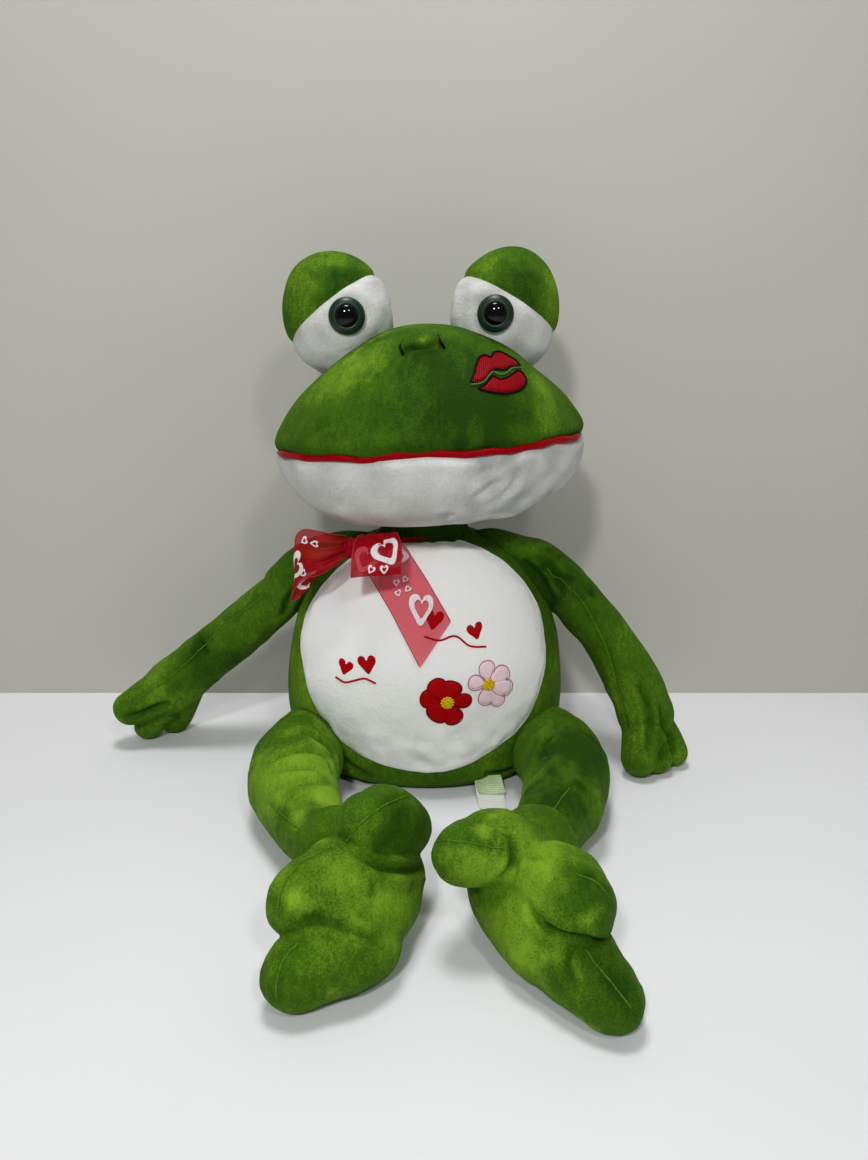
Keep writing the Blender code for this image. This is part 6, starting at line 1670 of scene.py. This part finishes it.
def printed_hearts(grid, marks, lift):
    """Heart outlines printed on a strip: marks are (share along, share across, height in metres, turn)."""
    rows, cols = grid.shape[:2]
    long, wide = length_of(grid), float(np.linalg.norm(grid[rows // 2, -1] - grid[rows // 2, 0]))
    normal = out_of(grid)
    outline = np.array(rounded(PRINTED_HEART, PRINT_POINTS))
    k = np.arange(PRINT_POINTS)
    after = (k + 1) % PRINT_POINTS
    faces = np.concatenate([np.stack([k, after, PRINT_POINTS + after], 1),
                            np.stack([k, PRINT_POINTS + after, PRINT_POINTS + k], 1)])
    skins = []
    for along, across, size, turn_deg in marks:
        inner = outline * PRINT_INNER_SHARES[size > PRINT_LARGE] + np.array((PRINT_SHIFT_SHARE, 0.0))
        turn = math.radians(turn_deg)
        spin = np.array(((math.cos(turn), -math.sin(turn)), (math.sin(turn), math.cos(turn))))
        places = []
        for ring in (outline, inner):
            flat = ring @ spin.T * size
            u = np.clip((along + flat[:, 0] / long) * (rows - 1), 0, rows - 1.001)
            v = np.clip((across + flat[:, 1] / wide) * (cols - 1), 0, cols - 1.001)
            i, j, fu, fv = u.astype(int), v.astype(int), (u % 1)[:, None], (v % 1)[:, None]
            point = ((1 - fu) * (1 - fv) * grid[i, j] + fu * (1 - fv) * grid[i + 1, j]
                     + (1 - fu) * fv * grid[i, j + 1] + fu * fv * grid[i + 1, j + 1])
            places.append(point + normal[i, j] * lift)
        skins.append(Skin(np.concatenate(places), faces))
    return joined(skins)


class FROG_OT_ribbon(bpy.types.Operator):
    """Ties the sheer ribbon in a bow round the neck"""
    bl_idname = "frog.ribbon"
    bl_label = "Ribbon"

    def execute(self, context):
        width = context.scene.finish_sizes.ribbon_width
        prints, edges = [], []
        band, knot = self.band(), self.knot()
        for name, grid, wide, held, rests_on, bunched, marks, lift in (
                ("ribbon_band", band, gathered_width(band), "gathered", "plush_torso_front_cover", 0.4, (), 0),
                ("ribbon_side_loop", self.side_loop(width), width, "hung", "ribbon_knot_cloth", 0.45,
                 SIDE_LOOP_HEARTS, PRINT_LIFT),
                ("ribbon_front_loop", self.front_loop(width), width, "hung", "ribbon_knot_cloth", 0.25,
                 FRONT_LOOP_HEARTS, PRINT_LIFT),
                ("ribbon_tail", self.tail(skin_of("torso").tree()), width, "hung", "plush_belly_patch", 0.0,
                 TAIL_HEARTS, -TAIL_PRINT_LIFT),
                ("ribbon_knot", knot, gathered_width(knot), "gathered", "ribbon_band_cloth", 0.5, (), 0)):
            length = length_of(grid)
            piece = sheet_piece(f"{name}_cloth", grid, wide, length, organza, bunched)
            settled(piece, "red_organza", name, body="torso")
            if marks:
                edges += [thread_line(grid[::2, col], SELVAGE_RADIUS, 5) for col in (0, -1)]
                prints += [printed_hearts(grid, marks, lift), printed_hearts(grid, marks, -lift)]
        settled(sewn("ribbon_heart_print", joined(prints), heart_print), "red_organza", body="torso")
        settled(sewn("ribbon_selvages", joined(edges), selvage), "red_organza", body="torso")
        return {"FINISHED"}

    def band(self):
        """The ribbon gathered to a narrow roll round the foot of the neck, and drawn out to the knot."""
        low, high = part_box("ribbon_band")
        middle = Vector(((low.x + high.x) / 2, BAND_BACK, 0))
        turns = np.linspace(0, math.tau, BAND_POINTS)
        half_x, half_y = BAND_HALF
        toward = Vector((KNOT.x - middle.x, KNOT.y - middle.y, 0)).normalized()
        aside = (turns - math.atan2(toward.y, toward.x) + math.pi) % math.tau - math.pi
        drawn = bell(aside, BAND_DRAWN)[:, None]
        bottom, tall = low.z + BAND_INSET, high.z - low.z - 2 * BAND_INSET
        centres, acrosses = [], []
        for turn in turns:
            x, y = half_x * math.cos(turn), half_y * math.sin(turn)
            rise = (x * toward.x + y * toward.y + half_x) / (2 * half_x)
            centres.append((middle.x + x, middle.y + y, bottom + tall * min(rise, 1)))
            acrosses.append((BAND_FLARE * math.cos(turn), BAND_FLARE * math.sin(turn), 1.0))
        centres, acrosses = np.array(centres) * (1 - drawn) + np.array(KNOT) * drawn, np.array(acrosses)
        acrosses /= np.linalg.norm(acrosses, axis=1, keepdims=True)
        shares = np.linspace(-0.5, 0.5, BAND_COLUMNS)
        pleat = BAND_PLEAT * np.sin(shares * BAND_PLEAT_TURN)
        outward = np.stack([np.cos(turns), np.sin(turns), np.zeros(len(turns))], 1)
        uneven = (1 + BAND_UNEVEN * np.sin(turns * 5))[:, None, None]
        grid = centres[:, None] + acrosses[:, None] * (BAND_WIDTH * shares)[None, :, None]
        return grid + outward[:, None] * pleat[None, :, None] * uneven

    def side_loop(self, width):
        """The loop that goes out to the frog's right, and comes back lower down behind itself."""
        down = Vector((0, 0, -1))
        ways = [(place, Matrix.Rotation(turn, 3, "Y") @ down, wide) for place, wide, turn in SIDE_LOOP]
        return rippled(cloth_strip(ways, width), SIDE_LOOP_RIPPLE, 81)

    def front_loop(self, width):
        """The loop that hangs down over the belly, folded at its lower end."""
        across = Vector(FRONT_LOOP_ACROSS).normalized()
        ways = [(FRONT_LOOP_TOP.lerp(FRONT_LOOP_END, share) + Vector((0, y, 0)), across, wide)
                for share, y, wide in FRONT_LOOP]
        return rippled(cloth_strip(ways, width), FRONT_LOOP_RIPPLE, 83)

    def tail(self, torso):
        """The ribbon's end, which lies on the belly and is cut on the slant."""
        rows, cols = TAIL_GRID
        shares = np.linspace(0, 1, rows)
        at = np.linspace(0, 1, len(TAIL_LEFT))
        left, right = (np.stack([np.interp(shares, at, [mark[k] for mark in edge]) for k in (0, 1)], 1)
                       for edge in (TAIL_LEFT, TAIL_RIGHT))
        grid = np.zeros((rows, cols, 3))
        for row, share in enumerate(shares):
            for col in range(cols):
                side = col / (cols - 1)
                mark = left[row] * (1 - side) + right[row] * side
                place = torso.ray_cast(EYE_PLACE, sight_line(*mark))[0]
                toward = (EYE_PLACE - place).normalized()
                lift = TAIL_LIFT + TAIL_WAVE * (1 + math.sin(8 * share + 3 * side)) * share
                hang = max(1 - share / TAIL_HANG_SHARE, 0) ** 1.5
                near = (place.y - KNOT.y + TAIL_BEHIND_KNOT) / max(-toward.y, 0.1)
                grid[row, col] = place + toward * (lift + max(near, 0) * hang)
        return grid

    def knot(self):
        """A short turn of ribbon pulled tight round the others."""
        rows, cols = KNOT_GRID
        wide, deep, high = KNOT_HALVES
        grid = np.zeros((rows, cols, 3))
        for i, turn in enumerate(np.linspace(0.0, math.tau, rows)):
            for j, share in enumerate(np.linspace(-1, 1, cols)):
                squeeze = 1 - KNOT_TAPER * share ** 2 + KNOT_CRUMPLE * math.sin(share * 9 + turn)
                grid[i, j] = (KNOT.x + wide * share, KNOT.y + deep * squeeze * math.cos(turn),
                              KNOT.z + high * squeeze * math.sin(turn))
        return grid


class FROG_OT_labels(bpy.types.Operator):
    """Adds the two bare labels at the crotch"""
    bl_idname = "frog.labels"
    bl_label = "Labels"

    def execute(self, context):
        width = context.scene.finish_sizes.label_width
        rows, cols = LABEL_GRID
        for name, length, lift, bend, cloth in (("care_label", *CARE_LABEL, label_tape),
                                                ("maker_label", *MAKER_LABEL, green_tape)):
            low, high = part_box(name)
            grid = np.zeros((rows, cols, 3))
            for row in range(rows):
                share = row / (rows - 1)
                out = length * share
                for col in range(cols):
                    side = col / (cols - 1) - 0.5
                    curl = LABEL_CURL * (2 * side) ** 2 * share * bend
                    fall = LABEL_DROP * (1 - out / LABEL_REACH) ** 2
                    z = LABEL_CLEAR + fall + lift + abs(curl) + LABEL_WAVE * math.sin(5 * share + 4 * side)
                    grid[row, col] = ((low.x + high.x) / 2 + width * side + LABEL_SKEW * share, high.y - out, z)
            piece = sheet_piece(f"{name}_tape", grid, width, length, cloth)
            settled(piece, "label_tape", name, body="torso")
        return {"FINISHED"}


# Stage

class FROG_OT_stage(bpy.types.Operator):
    """Sets the table, the wall, the lamps and the camera"""
    bl_idname = "frog.stage"
    bl_label = "Stage"

    def execute(self, context):
        scene = context.scene
        half = BOARD_SIZE / 2
        corners = [(-half, -half, 0), (half, -half, 0), (half, half, 0), (-half, half, 0)]
        for name, place, turn, paint in (("table", (0, 0, 0), (0, 0, 0), table_paint),
                                         ("wall", (0, WALL_Y, 0), (90, 0, 0), wall_paint)):
            item = object_of(name, corners, [(0, 1, 2, 3)], smooth=False)
            item.data.materials.append(paint())
            item.location, item.rotation_euler = place, [math.radians(t) for t in turn]
        for name, place, size, power in LAMPS:
            lamp = bpy.data.lights.new(name, "AREA")
            lamp.energy, lamp.size = power, size
            item = bpy.data.objects.new(name, lamp)
            item.location = place
            item.rotation_euler = (LAMPS_AIM - Vector(place)).to_track_quat("-Z", "Y").to_euler()
            scene.collection.objects.link(item)
        scene.world = bpy.data.worlds.new("studio_light")
        scene.world.use_nodes = True
        background = scene.world.node_tree.nodes["Background"].inputs
        background["Color"].default_value, background["Strength"].default_value = linear("#ffffff"), ROOM_LIGHT
        scene.view_settings.view_transform = "Standard"
        camera = bpy.data.cameras.new("camera")
        camera.lens, camera.sensor_width = FOCAL_PIXELS / PHOTO_HIGH * SENSOR_MM, SENSOR_MM
        scene.camera = bpy.data.objects.new("camera", camera)
        scene.camera.location = EYE_PLACE
        scene.camera.rotation_euler = (math.radians(90 - EYE_PITCH_DEG), 0, 0)
        scene.collection.objects.link(scene.camera)
        return {"FINISHED"}


class FROG_PT_pieces(bpy.types.Panel):
    """Lists the pieces of the frog and their sizes and colours"""
    bl_idname = "FROG_PT_pieces"
    bl_label = "Plush frog"
    bl_space_type = "VIEW_3D"
    bl_region_type = "UI"
    bl_category = "Plush frog"

    def draw(self, context):
        for operator in OPERATORS:
            self.layout.operator(operator.bl_idname)
        for group in (context.scene.plush_sizes, context.scene.finish_sizes, context.scene.plush_colours):
            for name in group.__annotations__:
                self.layout.prop(group, name)


GROUPS = {"plush_sizes": PlushSizes, "finish_sizes": FinishSizes, "plush_colours": PlushColours}
OPERATORS = (FROG_OT_stage, FROG_OT_torso, FROG_OT_neck, FROG_OT_head, FROG_OT_eyes, FROG_OT_arms,
             FROG_OT_legs, FROG_OT_kiss, FROG_OT_flowers, FROG_OT_ribbon, FROG_OT_labels)


def register():
    for each in (*GROUPS.values(), *OPERATORS, FROG_PT_pieces):
        bpy.utils.register_class(each)
    for name, group in GROUPS.items():
        setattr(bpy.types.Scene, name, bpy.props.PointerProperty(type=group))


def unregister():
    for name in GROUPS:
        delattr(bpy.types.Scene, name)
    for each in reversed((*GROUPS.values(), *OPERATORS, FROG_PT_pieces)):
        bpy.utils.unregister_class(each)


def main():
    register()
    for operator in OPERATORS:
        group, name = operator.bl_idname.split(".")
        getattr(getattr(bpy.ops, group), name)()


if __name__ == "__main__":
    main()
